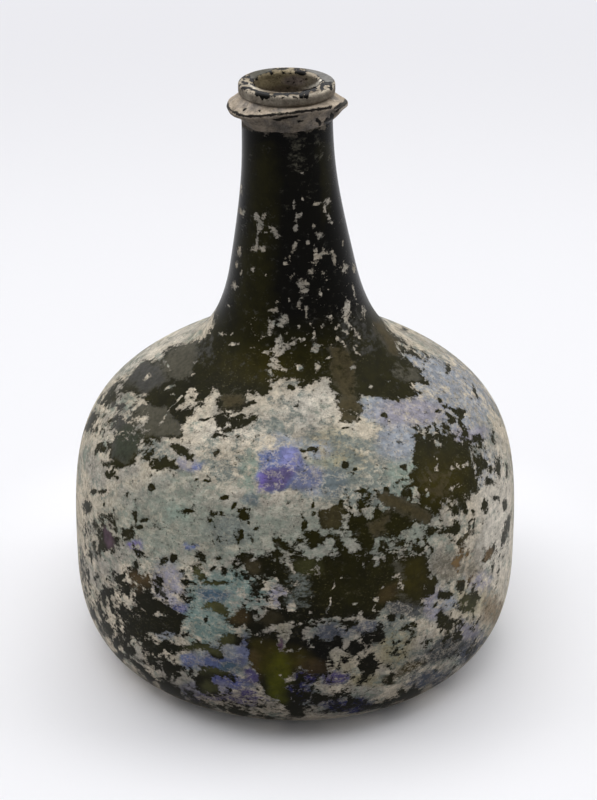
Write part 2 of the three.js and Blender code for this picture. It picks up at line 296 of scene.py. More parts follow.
class Skin:
    """A grid of points round the bottle's axis, in millimetres, with what each point carries."""

    def __init__(self, name, points, rings, columns, closed):
        """A closed grid also joins its last ring to its first."""
        self.name, self.points = name, points
        self.rings, self.columns, self.closed = rings, columns, closed
        self.height = points[:, 2].copy()
        self.normals = grid_normals(points, rings, columns, closed)
        self.colours, self.values = {}, {}

    def faces(self):
        """The quads of the grid. An open grid's ends are closed by a fan round one more point each."""
        count = self.rings * self.columns
        grid = np.arange(count).reshape(self.rings, self.columns)
        lower, upper = (grid, np.roll(grid, -1, axis=0)) if self.closed else (grid[:-1], grid[1:])
        quads = np.stack([lower, np.roll(lower, -1, axis=1), np.roll(upper, -1, axis=1), upper], axis=-1)
        faces = quads.reshape(-1, 4).tolist()
        if not self.closed:
            following = np.roll(grid, -1, axis=1)
            faces += [[count, b, a] for a, b in zip(grid[0], following[0])]
            faces += [[count + 1, a, b] for a, b in zip(grid[-1], following[-1])]
        return faces

    def build(self):
        """Makes the mesh and its object."""
        points, columns = self.points, self.columns
        if not self.closed:
            points = np.vstack([points, points[:columns].mean(0), points[-columns:].mean(0)])
        mesh = bpy.data.meshes.new(self.name)
        mesh.from_pydata((points * MM).tolist(), [], self.faces())
        mesh.polygons.foreach_set("use_smooth", [True] * len(mesh.polygons))
        extra = len(points) - len(self.points)
        for name, value in self.values.items():
            layer = mesh.attributes.new(name, "FLOAT", "POINT")
            layer.data.foreach_set("value", np.r_[value, np.full(extra, value.mean())].astype(np.float32))
        for name, tint in self.colours.items():
            layer = mesh.attributes.new(name, "FLOAT_COLOR", "POINT")
            rgba = np.ones((len(points), 4), np.float32)
            rgba[:len(tint), :3] = tint
            rgba[len(tint):, :3] = tint.mean(0)
            layer.data.foreach_set("color", rgba.ravel())
        mesh.validate()
        piece = bpy.data.objects.new(self.name, mesh)
        bpy.context.scene.collection.objects.link(piece)
        return piece


def grid_normals(points, rings, columns, closed):
    """The direction that each point of a grid faces."""
    grid = points.reshape(rings, columns, 3)
    across = np.roll(grid, -1, axis=1) - np.roll(grid, 1, axis=1)
    if closed:
        along = np.roll(grid, -1, axis=0) - np.roll(grid, 1, axis=0)
    else:
        along = np.gradient(grid, axis=0)
    normals = np.cross(across, along).reshape(-1, 3)
    return normals / np.maximum(np.linalg.norm(normals, axis=1), SMALLEST)[:, None]


# A point counts as seen once it faces the camera by this much, as the cosine of the angle between them
SEEN_FACING = 0.12


def in_photo(skin):
    """Where the points of a skin fall in the photograph, and how clearly its camera sees each."""
    forward = np.array([0, math.cos(CAMERA_PITCH), -math.sin(CAMERA_PITCH)])
    right = np.array([1.0, 0, 0])
    up = np.cross(right, forward)
    ray = skin.points - (np.array(CAMERA_TARGET) - forward * CAMERA_DISTANCE) / MM
    scale = LENS_MM / SENSOR_MM * PHOTO_HEIGHT / (ray @ forward)
    facing = -np.einsum("ij,ij->i", ray, skin.normals) / np.linalg.norm(ray, axis=1)
    x = PHOTO_WIDTH / 2 + scale * (ray @ right)
    y = PHOTO_HEIGHT / 2 - scale * (ray @ up)
    return x, y, smooth(facing, 0, SEEN_FACING)


def colour(red, green, blue):
    """An sRGB colour of 0 to 255 as linear values."""
    c = np.array([red, green, blue]) / 255
    return np.where(c <= 0.04045, c / 12.92, ((c + 0.055) / 1.055) ** 2.4)


# The palette: the red, green and blue of each colour in sRGB
BEIGE = colour(201, 190, 171)
PALE = colour(212, 205, 192)
GREY_BEIGE = colour(166, 161, 151)
GREEN_GREY = colour(140, 146, 134)
TEAL = colour(122, 142, 136)
SAGE = colour(138, 150, 138)
BLUE_GREY = colour(146, 151, 159)
LAVENDER = colour(150, 147, 158)
SLATE_GREEN = colour(122, 128, 122)
SLATE_BLUE = colour(94, 98, 108)
VIOLET = colour(114, 100, 166)
PLUM = colour(92, 84, 122)
INDIGO = colour(66, 60, 108)
DUSK_BLUE = colour(92, 96, 140)
BLUE = colour(104, 114, 154)
PERIWINKLE = colour(126, 128, 174)
STEEL = colour(112, 117, 144)
SLATE_TEAL = colour(108, 117, 120)
DEEP_TEAL = colour(84, 103, 118)
DRAB = colour(122, 116, 103)
TAN = colour(164, 155, 124)
AMBER = colour(112, 90, 60)
SLATE = colour(84, 85, 85)
HAZE_AND_SHEEN = colour(88, 85, 74)
BROWN_FILM = colour(76, 68, 48)
OLIVE = colour(31, 29, 6)
DARK_OLIVE = colour(18, 17, 5)
BLACK_GLASS = colour(7, 6, 3)
# Painted glow: the two colours below stand for light shining through the glass
OLIVE_LIT_THROUGH = colour(60, 53, 12)
GREEN_LIT_THROUGH = colour(84, 86, 10)
DUST = colour(96, 90, 60)
OLIVE_TAN = colour(74, 74, 44)
NAVY = colour(52, 54, 96)
MAGENTA = colour(104, 80, 96)
SLATE_FILM = colour(76, 75, 72)
TEAL_FILM = colour(62, 66, 56)
LIP_GREY = colour(132, 130, 126)
RIM_TAN = colour(156, 144, 129)
LIP_TAN = colour(176, 166, 150)
RIM_GLASS_AND_CREST_SHADOW = colour(34, 31, 28)
RIM_GREY = colour(122, 116, 110)
MOUTH_PALE = colour(236, 230, 218)
BORE_TAN = colour(140, 127, 98)
BORE_PURPLE = colour(124, 112, 108)
BORE_DARK = colour(96, 84, 70)


# Farther than any place in the picture
FAR_AWAY = 1e9


class Painter:
    """Paints values and colours on a skin by places in the photograph. All sizes are in its pixels."""

    def __init__(self, skin, where=1, wander=3.4, cell=2.6):
        """Lines wander by some pixels, over cells of some millimetres."""
        x, y, seen = in_photo(skin)
        self.skin, self.where = skin, seen * where
        across, down = [
            wander * value_noise(skin.points, cell, seed, WANDER_OCTAVES, WANDER_GAIN)
            for seed in WANDER_SEEDS
        ]
        self.x, self.y = x + across, y + down

    def put(self, layer, value, weight):
        """Moves a layer towards a value, or a colour, by each point's weight."""
        weight = weight * self.where
        layers = self.skin.values
        if layer in self.skin.colours:
            layers, weight = self.skin.colours, weight[:, None]
        layers[layer] = layers[layer] + (value - layers[layer]) * weight

    def spot(self, layer, value, x, y, half_width, half_height, turn=0, edge=0.45, strength=1):
        """An ellipse, turned clockwise by degrees. edge is the share of its radius over which it fades."""
        c, s = heading(turn)
        dx, dy = self.x - x, self.y - y
        u, v = (dx * c + dy * s) / half_width, (dy * c - dx * s) / half_height
        self.put(layer, value, strength * (1 - smooth(np.hypot(u, v), 1 - edge, 1 + edge)))

    def dim(self, share, corners, edge):
        """Darkens every colour to a share of itself: painted shade."""
        for layer in self.skin.colours:
            self.area(layer, self.skin.colours[layer] * share, corners, edge)

    def brighten(self, layer, share, place):
        """Multiplies a colour at a spot by a share above 1: a painted highlight."""
        self.spot(layer, self.skin.colours[layer] * share, *place, edge=0.6)

    def tints(self, layer, spots, edge=0.45):
        """Spots given as a colour, how strongly it shows, and its place."""
        for tint, strength, place in spots:
            self.spot(layer, tint, *place, edge=edge, strength=strength)

    def flecks(self, layer, value, places, edge=0.95):
        """Small spots, each with or without a turn."""
        for x, y, half_width, half_height, *turn in places:
            self.spot(layer, value, x, y, half_width, half_height, *turn, edge=edge)

    def stroke(self, layer, value, points, half_width):
        """A line through points of (x, y), which fades to nothing at its full width."""
        nearest = np.full(len(self.x), FAR_AWAY)
        for start, end in zip(points, points[1:]):
            nearest = np.minimum(nearest, self.away_from(start, end))
        self.put(layer, value, 1 - smooth(nearest, 0, 2 * half_width))

    def away_from(self, start, end):
        """How far each point of the skin is from the line between two places, in pixels."""
        (x0, y0), (x1, y1) = start, end
        along = (self.x - x0) * (x1 - x0) + (self.y - y0) * (y1 - y0)
        t = np.clip(along / ((x1 - x0) ** 2 + (y1 - y0) ** 2), 0, 1)
        return np.hypot(self.x - x0 - t * (x1 - x0), self.y - y0 - t * (y1 - y0))

    def area(self, layer, value, corners, edge):
        """A polygon of (x, y) corners, which fades over edge pixels to each side of its outline."""
        inside = np.zeros(len(self.x), bool)
        nearest = np.full(len(self.x), FAR_AWAY)
        for start, end in zip(corners, corners[1:] + corners[:1]):
            nearest = np.minimum(nearest, self.away_from(start, end))
            (x0, y0), (x1, y1) = start, end
            crosses = (y0 > self.y) != (y1 > self.y)
            rise = y1 - y0 if y1 != y0 else SMALLEST
            inside ^= crosses & (self.x < x0 + (self.y - y0) * (x1 - x0) / rise)
        depth = np.where(inside, nearest, -nearest)
        self.put(layer, value, smooth(depth, -edge, edge))


def turned(radius, height, angles):
    """Points at a radius and a height, turned round the axis and moved with the neck's lean."""
    x, y = radius * np.cos(angles) + lean_at(height), radius * np.sin(angles)
    return np.stack([x, y, np.broadcast_to(height, x.shape)], axis=-1).reshape(-1, 3)


def make_vessel():
    """The blown gather: one skin of glass, from the crown of the kick round to the inside."""
    profile, zones = vessel_profile()
    angles = front_angles()
    points = turned(profile[:, 0:1], profile[:, 1:2], angles)
    skin = Skin("bottle", points, len(profile), len(angles), closed=False)
    skin.zone = np.repeat(zones, len(angles))
    return skin


def hump(degrees, middle, spread):
    """1 at the middle and 0 from the spread outwards, all in degrees."""
    away = np.abs((degrees - middle + 180) % 360 - 180)
    return np.where(away < spread, np.cos(np.minimum(away / spread, 1) * math.pi / 2) ** 2, 0)


def rim_section(crest_radius, crest_height, foot_height):
    """The rim's section at one angle: a hollowed slope under its blunt crest and another over it."""
    inner = NECK_TOP_RADIUS - RIM_SINK
    low, high = (inner, foot_height), (inner + RIM_TOP_BATTER, TOTAL_HEIGHT - RIM_TOP_DROP)
    under = (crest_radius - CREST_WIDTH, crest_height - CREST_BELOW)
    over = (crest_radius - CREST_WIDTH, crest_height + CREST_ABOVE)
    foot_pull, top_pull = UNDERSIDE_PULLS
    return np.vstack([
        bend(low, UNDERSIDE_START, foot_pull, under, UNDERSIDE_END, top_pull, UNDERSIDE_POINTS),
        bend(under, CREST_START, CREST_PULL, over, CREST_END, CREST_PULL, CREST_POINTS)[1:],
        bend(over, CREST_END, UPPER_PULL, high, UPPER_END, UPPER_PULL, UPPER_POINTS)[1:],
        bend(high, DOWN, UPPER_PULL, low, DOWN, UPPER_PULL, BACK_POINTS)[1:-1],
    ])


def make_rim():
    """The string rim: a tooled V of glass round the neck, whose end laps over its start."""
    angles = front_angles()
    degrees = np.degrees(angles)
    wave = RIM_WAVE * np.cos(RIM_WAVES * angles)
    ripple = RIM_RIPPLE * np.sin(RIM_RIPPLES * angles + RIPPLES_TURN)
    crest_radius = NECK_TOP_RADIUS + RIM_DEPTH + wave + ripple
    rise = CREST_RISE * hump(degrees, CREST_RISE_AT, CREST_RISE_SPREAD)
    crest_height = TOTAL_HEIGHT - RIM_CREST_DROP + rise
    foot_height = TOTAL_HEIGHT - RIM_BOTTOM_DROP - RIM_BOTTOM_WAVE * np.sin(RIM_WAVES * angles)
    sections = np.array([rim_section(*at) for at in zip(crest_radius, crest_height, foot_height)])
    radius, height = sections[:, :, 0].T.copy(), sections[:, :, 1].T.copy()
    from_lap = (height - (TOTAL_HEIGHT - LAP_DROP)) / LAP_HALF_HEIGHT
    tongue = np.clip(1 - from_lap ** 2, 0, 1) ** 0.5
    lap = LAP_DEPTH * hump(degrees, LAP_AT, LAP_SPREAD) * tongue
    radius += np.where(radius > NECK_TOP_RADIUS, lap, 0)
    outer = (radius > NECK_TOP_RADIUS).ravel()
    rings, columns = radius.shape
    points = turned(radius, height, angles)
    lump = RIM_LUMPS * value_noise(points, *LUMPS) + RIM_PIMPLES * value_noise(points, *PIMPLES)
    normals = grid_normals(points, rings, columns, closed=True)
    points += normals * np.where(outer, lump, 0)[:, None]
    return Skin("string_rim_glass", points, rings, columns, closed=True)


def make_scar():
    """The rough ring of glass inside the kick, fused to its crown."""
    kick = kick_line()
    angles, turns = np.meshgrid(
        np.linspace(0, 2 * math.pi, SCAR_COLUMNS, endpoint=False),
        np.linspace(0, 2 * math.pi, SCAR_RINGS, endpoint=False),
    )
    radius = SCAR_RADIUS + SCAR_WIDTH / 2 * np.cos(turns)
    bed = np.interp(radius, kick[:, 0], kick[:, 1]) + SCAR_BED
    height = bed - (SCAR_THICKNESS + SCAR_BED) / 2 * (1 - np.sin(turns))
    points = np.stack([radius * np.cos(angles), radius * np.sin(angles), height], axis=-1).reshape(-1, 3)
    ragged = SCAR_TEETH * value_noise(points, *TEETH) - SCAR_WORN
    broken = (np.sin(turns) < SCAR_BROKEN_SIDE).ravel()
    points[:, 2] += np.where(broken, ragged, 0)
    return Skin("pontil_scar_glass", points, SCAR_RINGS, SCAR_COLUMNS, closed=True)


# How rough the bare glass is: in general, at the foot of the neck and at its top
GLASS_ROUGHNESS, NECK_BASE_ROUGHNESS, NECK_ROUGHNESS = 0.4, 0.42, 0.26

# Stretches of height, in millimetres: where the crust thins out up the neck, where the collar of crust
# under the rim begins, where the lip's crust turns lighter towards its top, and the stretch of painted
# shade close under the lip
BARE_NECK = (112, 128)
COLLAR_START = (TOTAL_HEIGHT - 15.5, TOTAL_HEIGHT - 12.5)
LIP_SIDE_TO_TOP = (TOTAL_HEIGHT - 1.3, TOTAL_HEIGHT - 0.2)
UNDER_LIP = (LIP_FOOT - 1.2, LIP_FOOT + 0.1)
FINISH_DROP, COLLAR_DROP = 16, 25

# Covers and amounts: the middle value, and how much of one or two patterns is added to it
BODY_COVER, NECK_COVER, KICK_COVER = (0.84, 0.9, 1.5), (-0.05, 0.5, 0.9), (0.35, 0.4, 0.8)
COLLAR_COVER, BORE_COVER = 1.1, 0.85
RIM_COVER, SCAR_COVER = (1.05, 0.1), (0.3, 0.4)
FILM_AMOUNT, STAIN_AMOUNT, FINISH_STAIN = (0.35, 0.7), (0.42, 0.5), (0.1, 0.3)
DUST_AMOUNT = 0.2

# The reach of the noise over which one tone gives way to the next, and how far it does
TONE_REACH, TONE_SHARE = (-0.1, 0.35), 0.85

# What the neck loses on the way up of its crust's lightness and of its film, dust and stain
NECK_SHADE, NECK_LOSSES = 0.36, {"film": 0.8, "dust": 1, "stain": 0.7}

# How light the crust is at the foot and the top of the lip, and on the rim in general and in the painted
# shade under the lip
LIP_FOOT_TONE, LIP_TOP_TONE = 0.42, 1.05
RIM_TONE, SHADED_RIM_TONE = 1.5, 0.8


def between(low, high, share):
    return low + (high - low) * share


def varied(amount, *patterns):
    """A middle value, with a share of each pattern added."""
    middle, *shares = amount
    return middle + sum(share * pattern for share, pattern in zip(shares, patterns))


def tones(points, cell, seed, colours):
    """A colour for each point, wandering between some colours over cells of some millimetres."""
    result = np.tile(colours[0], (len(points), 1))
    for i, other in enumerate(colours[1:]):
        share = smooth(value_noise(points, cell, seed + i, TONE_OCTAVES, TONE_GAIN), *TONE_REACH)
        result = between(result, other, TONE_SHARE * share[:, None])
    return result


def base_coat(skin, cover):
    """What every part of a skin gets before the places seen in the photograph are painted."""
    p = skin.points
    skin.values["crust"] = cover
    skin.values["film"] = np.clip(varied(FILM_AMOUNT, value_noise(p, *FILM_PATCHES)), 0, 1)
    skin.values["stain"] = varied(STAIN_AMOUNT, value_noise(p, *STAIN_PATCHES))
    skin.values["gloss"] = np.full(len(p), GLASS_ROUGHNESS)
    skin.values["dust"] = np.full(len(p), DUST_AMOUNT)
    tints = {
        "crust_tint": {"cell": 11, "seed": 71, "colours": (BEIGE, GREY_BEIGE, PALE)},
        "stain_tint": {"cell": 26, "seed": 74, "colours": (GREEN_GREY, BLUE_GREY, TEAL, LAVENDER)},
        "film_tint": {"cell": 30, "seed": 78, "colours": (HAZE_AND_SHEEN, BROWN_FILM, SLATE_FILM)},
    }
    for layer, tint in tints.items():
        skin.colours[layer] = tones(p, **tint)
    skin.colours["glass_tint"] = np.tile(OLIVE, (len(p), 1))


def coat_vessel(skin):
    """The crust from the foot to the lip: patchy on the body, sparse on the neck, whole on the lip."""
    patterns = value_noise(skin.points, *PATCHY), value_noise(skin.points * FLAKE_SQUEEZE, *FLAKY)
    up_neck = smooth(skin.height, *BARE_NECK)
    cover = between(varied(BODY_COVER, *patterns), varied(NECK_COVER, *patterns), up_neck)
    cover = between(cover, COLLAR_COVER, smooth(skin.height, *COLLAR_START))
    cover = np.where(skin.zone >= MOUTH_ZONE, BORE_COVER, cover)
    cover = np.where(skin.zone == KICK_ZONE, varied(KICK_COVER, *patterns), cover)
    base_coat(skin, cover)
    skin.colours["glass_tint"] = between(OLIVE, BLACK_GLASS, up_neck[:, None])
    skin.colours["crust_tint"] *= (1 - NECK_SHADE * up_neck)[:, None]
    skin.values["gloss"] = between(NECK_BASE_ROUGHNESS, NECK_ROUGHNESS, up_neck)
    for layer, loss in NECK_LOSSES.items():
        skin.values[layer] *= 1 - loss * up_neck
    finish = (skin.height > TOTAL_HEIGHT - FINISH_DROP) | (skin.zone >= MOUTH_ZONE)
    skin.values["stain"][finish] = varied(FINISH_STAIN, patterns[0])[finish]
    skin.colours["stain_tint"][finish] = RIM_GREY
    lip_tone = between(LIP_FOOT_TONE, LIP_TOP_TONE, smooth(skin.height, *LIP_SIDE_TO_TOP))
    lip_tint = tones(skin.points, cell=3, seed=64, colours=(LIP_TAN, RIM_TAN, LIP_TAN)) * lip_tone[:, None]
    skin.colours["crust_tint"][finish] = lip_tint[finish]


def coat_rim(skin):
    """Hard grey and tan crust, darker with painted shade close under the lip."""
    base_coat(skin, varied(RIM_COVER, value_noise(skin.points, *RIM_CRUMBS)))
    tone = between(RIM_TONE, SHADED_RIM_TONE, smooth(skin.height, *UNDER_LIP))
    tint = tones(skin.points, cell=4, seed=61, colours=(RIM_TAN, RIM_GREY))
    skin.colours["crust_tint"] = tint * tone[:, None]
    # The rim's dark glass, which also fills the painted shadow line under the crest
    skin.colours["glass_tint"] = np.tile(RIM_GLASS_AND_CREST_SHADOW, (len(skin.points), 1))
    skin.values["stain"] = varied(FINISH_STAIN, value_noise(skin.points, *RIM_STAINS))
    skin.colours["stain_tint"] = np.tile(RIM_GREY, (len(skin.points), 1))


def coat_scar(skin):
    """Scattered crust on the rough glass."""
    base_coat(skin, varied(SCAR_COVER, value_noise(skin.points, *SCAR_CRUMBS)))


# How much of the crust is left at a place, from none to all of it
BARE, SPARSE, MIXED, WHOLE = -0.15, 0.33, 0.52, 1.15

# The places below are in the photograph's pixels, x to the right and y down. A fleck is an ellipse:
# x, y, half width, half height and, where it is turned, its clockwise turn in degrees.

SEEN_BODY = [(40, 316), (560, 316), (560, 760), (40, 760)]
DUSTY = [(200, 340), (400, 340), (500, 420), (500, 640), (90, 640), (90, 420)]

# The neck and the dark ring at its foot, where the crust has come away down to a ragged edge
BARE_TOP = [
    (240, 131), (252, 130), (266, 136), (270, 131), (280, 132), (284, 137), (296, 138), (300, 131),
    (324, 131), (330, 118), (337, 118), (342, 200), (352, 250), (362, 285), (376, 316), (401, 347),
    (401, 358), (415, 365), (421, 371), (420, 376), (428, 381), (408, 384), (419, 394), (405, 399),
    (399, 397), (394, 401), (380, 396), (362, 396), (357, 398), (362, 411), (341, 410), (336, 407),
    (340, 400), (334, 398), (341, 396), (331, 385), (332, 380), (322, 377), (316, 379), (313, 377),
    (313, 382), (304, 383), (297, 378), (288, 379), (281, 375), (276, 379), (268, 381), (270, 388),
    (268, 393), (261, 394), (256, 391), (249, 391), (245, 394), (246, 406), (240, 410), (228, 411),
    (219, 407), (217, 400), (222, 393), (214, 388), (209, 388), (212, 394), (206, 398), (205, 404),
    (192, 408), (183, 423), (180, 430), (183, 437), (165, 437), (145, 442), (138, 446), (135, 452),
    (137, 458), (132, 463), (122, 467), (112, 458), (108, 443), (115, 440), (113, 432), (105, 434),
    (92, 431), (85, 433), (86, 424), (104, 398), (120, 380), (128, 379), (141, 361), (164, 362),
    (164, 353), (170, 348), (200, 341), (211, 334), (217, 318), (222, 290), (233, 250), (239, 200),
]

# Where the neck and its foot are speckled with crust
SPECKLED = [(296, 228), (330, 232), (346, 262), (360, 300), (384, 334), (352, 352), (300, 352), (258, 346),
            (236, 330), (262, 300), (284, 268)]

# Larger holes in the crust
HOLES = [
    # Left side
    [(103, 461), (114, 463), (134, 450), (136, 456), (133, 461), (116, 468), (103, 465)],
    [(151, 466), (154, 461), (169, 456), (170, 461), (178, 467), (157, 469)],
    [(170, 448), (175, 443), (182, 444), (192, 455), (192, 460)],
    [(178, 412), (184, 408), (192, 411), (190, 416), (184, 417), (187, 421), (183, 424), (179, 418),
     (173, 416)],
    [(215, 417), (222, 413), (232, 420), (222, 428)],
    [(224, 432), (230, 426), (232, 419), (240, 421), (252, 414), (257, 416), (256, 421), (250, 424)],
    [(122, 529), (134, 528), (133, 538), (128, 540)],
    [(131, 568), (144, 579), (149, 577), (150, 590), (133, 581), (130, 575)],
    [(196, 556), (201, 554), (206, 557), (206, 562), (200, 560)],
    [(193, 567), (198, 566), (206, 577), (204, 581), (199, 577)],
    [(206, 580), (226, 582), (226, 586), (208, 584)],
    # Middle
    [(240, 511), (244, 509), (248, 521), (240, 517)],
    [(273, 538), (284, 540), (292, 550), (302, 553), (294, 554), (278, 546), (273, 543)],
    [(264, 553), (270, 554), (276, 550), (282, 558), (277, 560)],
    [(260, 560), (270, 558), (272, 562), (281, 562), (288, 573), (284, 577), (287, 582), (285, 585),
     (276, 578), (276, 572), (266, 577), (261, 572)],
    [(242, 562), (258, 563), (260, 572), (256, 576), (250, 572)],
    [(295, 562), (301, 561), (303, 568), (308, 567), (309, 561), (313, 563), (311, 570), (298, 577)],
    [(303, 537), (306, 533), (313, 532), (324, 538), (324, 546), (312, 547), (308, 545), (309, 540)],
    [(328, 536), (334, 535), (338, 537), (339, 540), (329, 538)],
    [(317, 513), (322, 508), (326, 512), (341, 503), (343, 508), (340, 513), (343, 517), (342, 526),
     (345, 534), (335, 528), (322, 528), (318, 524), (321, 520)],
    [(349, 521), (352, 517), (372, 520), (378, 506), (382, 511), (390, 510), (396, 514), (402, 512),
     (415, 522), (410, 528), (402, 529), (396, 534), (388, 533), (372, 538), (372, 545), (367, 547),
     (361, 534), (357, 536), (350, 528)],
    [(376, 491), (398, 497), (428, 510), (432, 515), (430, 521), (422, 523), (396, 511), (380, 502)],
    [(341, 417), (345, 413), (352, 412), (358, 415), (358, 419), (350, 421), (342, 421)],
    # Right side
    [(414, 447), (420, 441), (428, 440), (440, 449), (446, 443), (468, 448), (478, 474), (478, 490),
     (463, 494), (466, 505), (460, 508), (455, 497), (448, 497), (424, 507), (419, 504), (424, 494),
     (412, 476), (418, 466), (414, 462)],
    [(477, 463), (480, 457), (486, 462), (487, 467), (482, 468), (480, 474)],
    [(423, 529), (432, 526), (437, 528), (437, 534), (430, 535)],
    [(441, 529), (450, 527), (455, 522), (460, 524), (460, 532), (454, 534), (442, 533)],
    [(457, 543), (460, 537), (471, 531), (471, 536), (459, 545)],
    [(482, 560), (494, 544), (495, 550), (485, 562)],
    # The wide window low on the front
    [(318, 566), (320, 559), (326, 557), (334, 559), (345, 551), (350, 556), (355, 555), (358, 567),
     (363, 561), (395, 562), (412, 556), (424, 557), (431, 573), (427, 578), (437, 581), (434, 584),
     (425, 584), (422, 589), (430, 591), (427, 597), (420, 600), (424, 605), (418, 608), (398, 600),
     (390, 600), (373, 619), (366, 617), (362, 612), (345, 618), (296, 622), (276, 618), (262, 608),
     (264, 606), (290, 613), (298, 609), (300, 603), (297, 596), (307, 579), (320, 578)],
    # Low on the left
    [(136, 587), (146, 594), (150, 592), (152, 598), (186, 616), (181, 619), (180, 626), (181, 634),
     (186, 633), (184, 637), (164, 629), (160, 634), (150, 632), (138, 636), (132, 633), (128, 637),
     (124, 634), (128, 622), (120, 612), (120, 606), (124, 605), (134, 616), (148, 617), (142, 613),
     (147, 612), (136, 600)],
    [(117, 579), (131, 587), (130, 598)],
    [(101, 622), (106, 621), (110, 626), (114, 632), (111, 637), (105, 633)],
    [(146, 644), (152, 642), (158, 646), (163, 641), (184, 646), (200, 642), (224, 654), (218, 657),
     (196, 648), (178, 652), (170, 650), (164, 656), (158, 656), (146, 650)],
    [(219, 640), (230, 633), (241, 640), (240, 645), (228, 643), (222, 646)],
    [(163, 665), (170, 668), (176, 664), (182, 668), (180, 676), (170, 679), (166, 676)],
    [(199, 673), (206, 672), (212, 676), (210, 682), (218, 688), (214, 694), (198, 686), (196, 680)],
    [(200, 666), (230, 672), (238, 678), (234, 681), (226, 675), (204, 670)],
    [(203, 606), (206, 602), (213, 603), (218, 600), (229, 612), (224, 615)],
    # Low in the middle, under and over the long scratch
    [(228, 618), (234, 616), (244, 602), (247, 609), (256, 611), (263, 608), (268, 612), (290, 614),
     (296, 618), (266, 628), (262, 633), (252, 634), (248, 628), (231, 624), (226, 620)],
    [(250, 636), (258, 637), (277, 632), (279, 640), (277, 648), (281, 652), (313, 648), (325, 656),
     (322, 664), (328, 668), (324, 676), (300, 668), (292, 670), (284, 680), (288, 697), (286, 702),
     (267, 695), (259, 682), (258, 668), (250, 664), (248, 640)],
    [(290, 626), (297, 623), (320, 622), (316, 627), (306, 628), (301, 633), (300, 640), (316, 636),
     (318, 640), (330, 641), (338, 638), (345, 640), (340, 646), (328, 646), (325, 654), (318, 650),
     (288, 650), (284, 645), (290, 634)],
    [(281, 702), (286, 700), (296, 704), (304, 709), (304, 716), (286, 718), (290, 712)],
    # Low on the right
    [(344, 622), (350, 620), (356, 622), (353, 626), (347, 627)],
    [(362, 638), (366, 633), (371, 634), (373, 639), (368, 642)],
    [(351, 645), (356, 641), (361, 644), (362, 650), (356, 652), (350, 649)],
    [(374, 632), (379, 630), (383, 634), (382, 641), (378, 644), (374, 640)],
    [(360, 663), (372, 655), (375, 660), (374, 665), (378, 668), (364, 680), (361, 677), (363, 670),
     (359, 666)],
    [(457, 583), (460, 581), (465, 583), (460, 593), (457, 590)],
    [(440, 598), (441, 592), (446, 592), (450, 595), (443, 600)],
    [(460, 600), (468, 594), (470, 600), (474, 593), (479, 592), (480, 597), (472, 611), (461, 610),
     (464, 604)],
    [(437, 618), (443, 608), (444, 614), (455, 622), (448, 636), (444, 626), (440, 632)],
    [(457, 620), (461, 620), (461, 638), (456, 640), (453, 636), (457, 630)],
    [(439, 643), (442, 639), (447, 637), (445, 641), (441, 644)],
    [(403, 629), (415, 622), (416, 626), (404, 633)],
    [(378, 706), (384, 701), (398, 697), (398, 690), (408, 690), (413, 685), (420, 692), (414, 697),
     (398, 700), (382, 709)],
]

# Places where the crust is broken up: how much of it is left, and the outline
BROKEN = [
    (0.75, [(300, 540), (430, 530), (436, 556), (340, 556)]),
    (0.66, [(76, 560), (130, 560), (160, 640), (225, 700), (150, 700), (96, 640)]),
    (0.66, [(80, 545), (122, 555), (128, 600), (118, 640), (100, 640), (84, 600)]),
    (0.46, [(110, 634), (150, 640), (174, 650), (182, 692), (150, 690), (124, 664)]),
    (0.30, [(86, 520), (112, 512), (120, 520), (120, 534), (126, 546), (121, 558), (104, 552), (98, 560),
            (88, 548), (85, 536)]),
    (0.42, [(100, 396), (132, 392), (150, 400), (152, 436), (126, 442), (92, 428)]),
    (0.78, [(140, 440), (176, 444), (182, 472), (148, 474), (134, 464)]),
    (0.7, [(205, 512), (252, 512), (256, 546), (212, 544)]),
    (0.9, [(340, 496), (392, 486), (400, 500), (362, 520), (338, 516)]),
    (1.1, [(430, 540), (452, 536), (482, 512), (492, 540), (480, 556), (446, 562)]),
    (0.8, [(150, 576), (190, 572), (196, 600), (156, 604)]),
    (SPARSE, [(278, 345), (292, 350), (312, 376), (300, 380), (266, 378), (264, 364)]),
    (MIXED, [(384, 338), (398, 338), (428, 358), (424, 366), (408, 364), (394, 352)]),
    (MIXED, [(410, 424), (440, 423), (456, 430), (462, 442), (444, 444), (420, 442)]),
    (SPARSE, [(432, 502), (440, 500), (452, 502), (460, 508), (458, 515), (440, 520), (432, 516)]),
    (0.36, [(358, 540), (402, 538), (406, 556), (382, 562), (358, 562)]),
    (0.7, [(444, 563), (456, 553), (471, 549), (478, 560), (476, 567), (470, 568), (468, 576),
           (462, 580), (460, 574)]),
    (0.95, [(438, 600), (452, 598), (456, 606), (456, 618), (448, 640), (436, 640)]),
    (0.8, [(486, 588), (500, 584), (502, 606), (494, 626), (484, 612)]),
    (0.6, [(344, 619), (384, 618), (384, 644), (362, 652), (346, 646)]),
    (SPARSE, [(288, 668), (300, 668), (348, 686), (350, 700), (300, 706), (288, 700)]),
    (MIXED, [(300, 698), (352, 696), (380, 700), (376, 710), (340, 714), (304, 712)]),
    (0.7, [(225, 552), (280, 552), (284, 600), (240, 600)]),
    (0.42, [(280, 556), (318, 556), (304, 604), (282, 606)]),
    (0.45, [(160, 690), (262, 704), (284, 718), (262, 726), (180, 714)]),
    (0.6, [(178, 684), (232, 690), (232, 706), (190, 702)]),
    (0.72, [(400, 650), (440, 650), (480, 640), (470, 665), (420, 690), (396, 682)]),
    (0.9, [(122, 556), (142, 556), (142, 584), (126, 584)]),
    (0.62, [(396, 480), (426, 480), (426, 502), (396, 502)]),
    (0.55, [(458, 438), (484, 438), (486, 464), (460, 462)]),
    (0.95, [(444, 566), (470, 580), (504, 548), (506, 612), (480, 650), (452, 640), (440, 610)]),
    (0.92, [(376, 640), (420, 626), (452, 650), (444, 676), (400, 700), (372, 690)]),
    (0.8, [(318, 640), (366, 632), (376, 660), (360, 690), (318, 686)]),
]

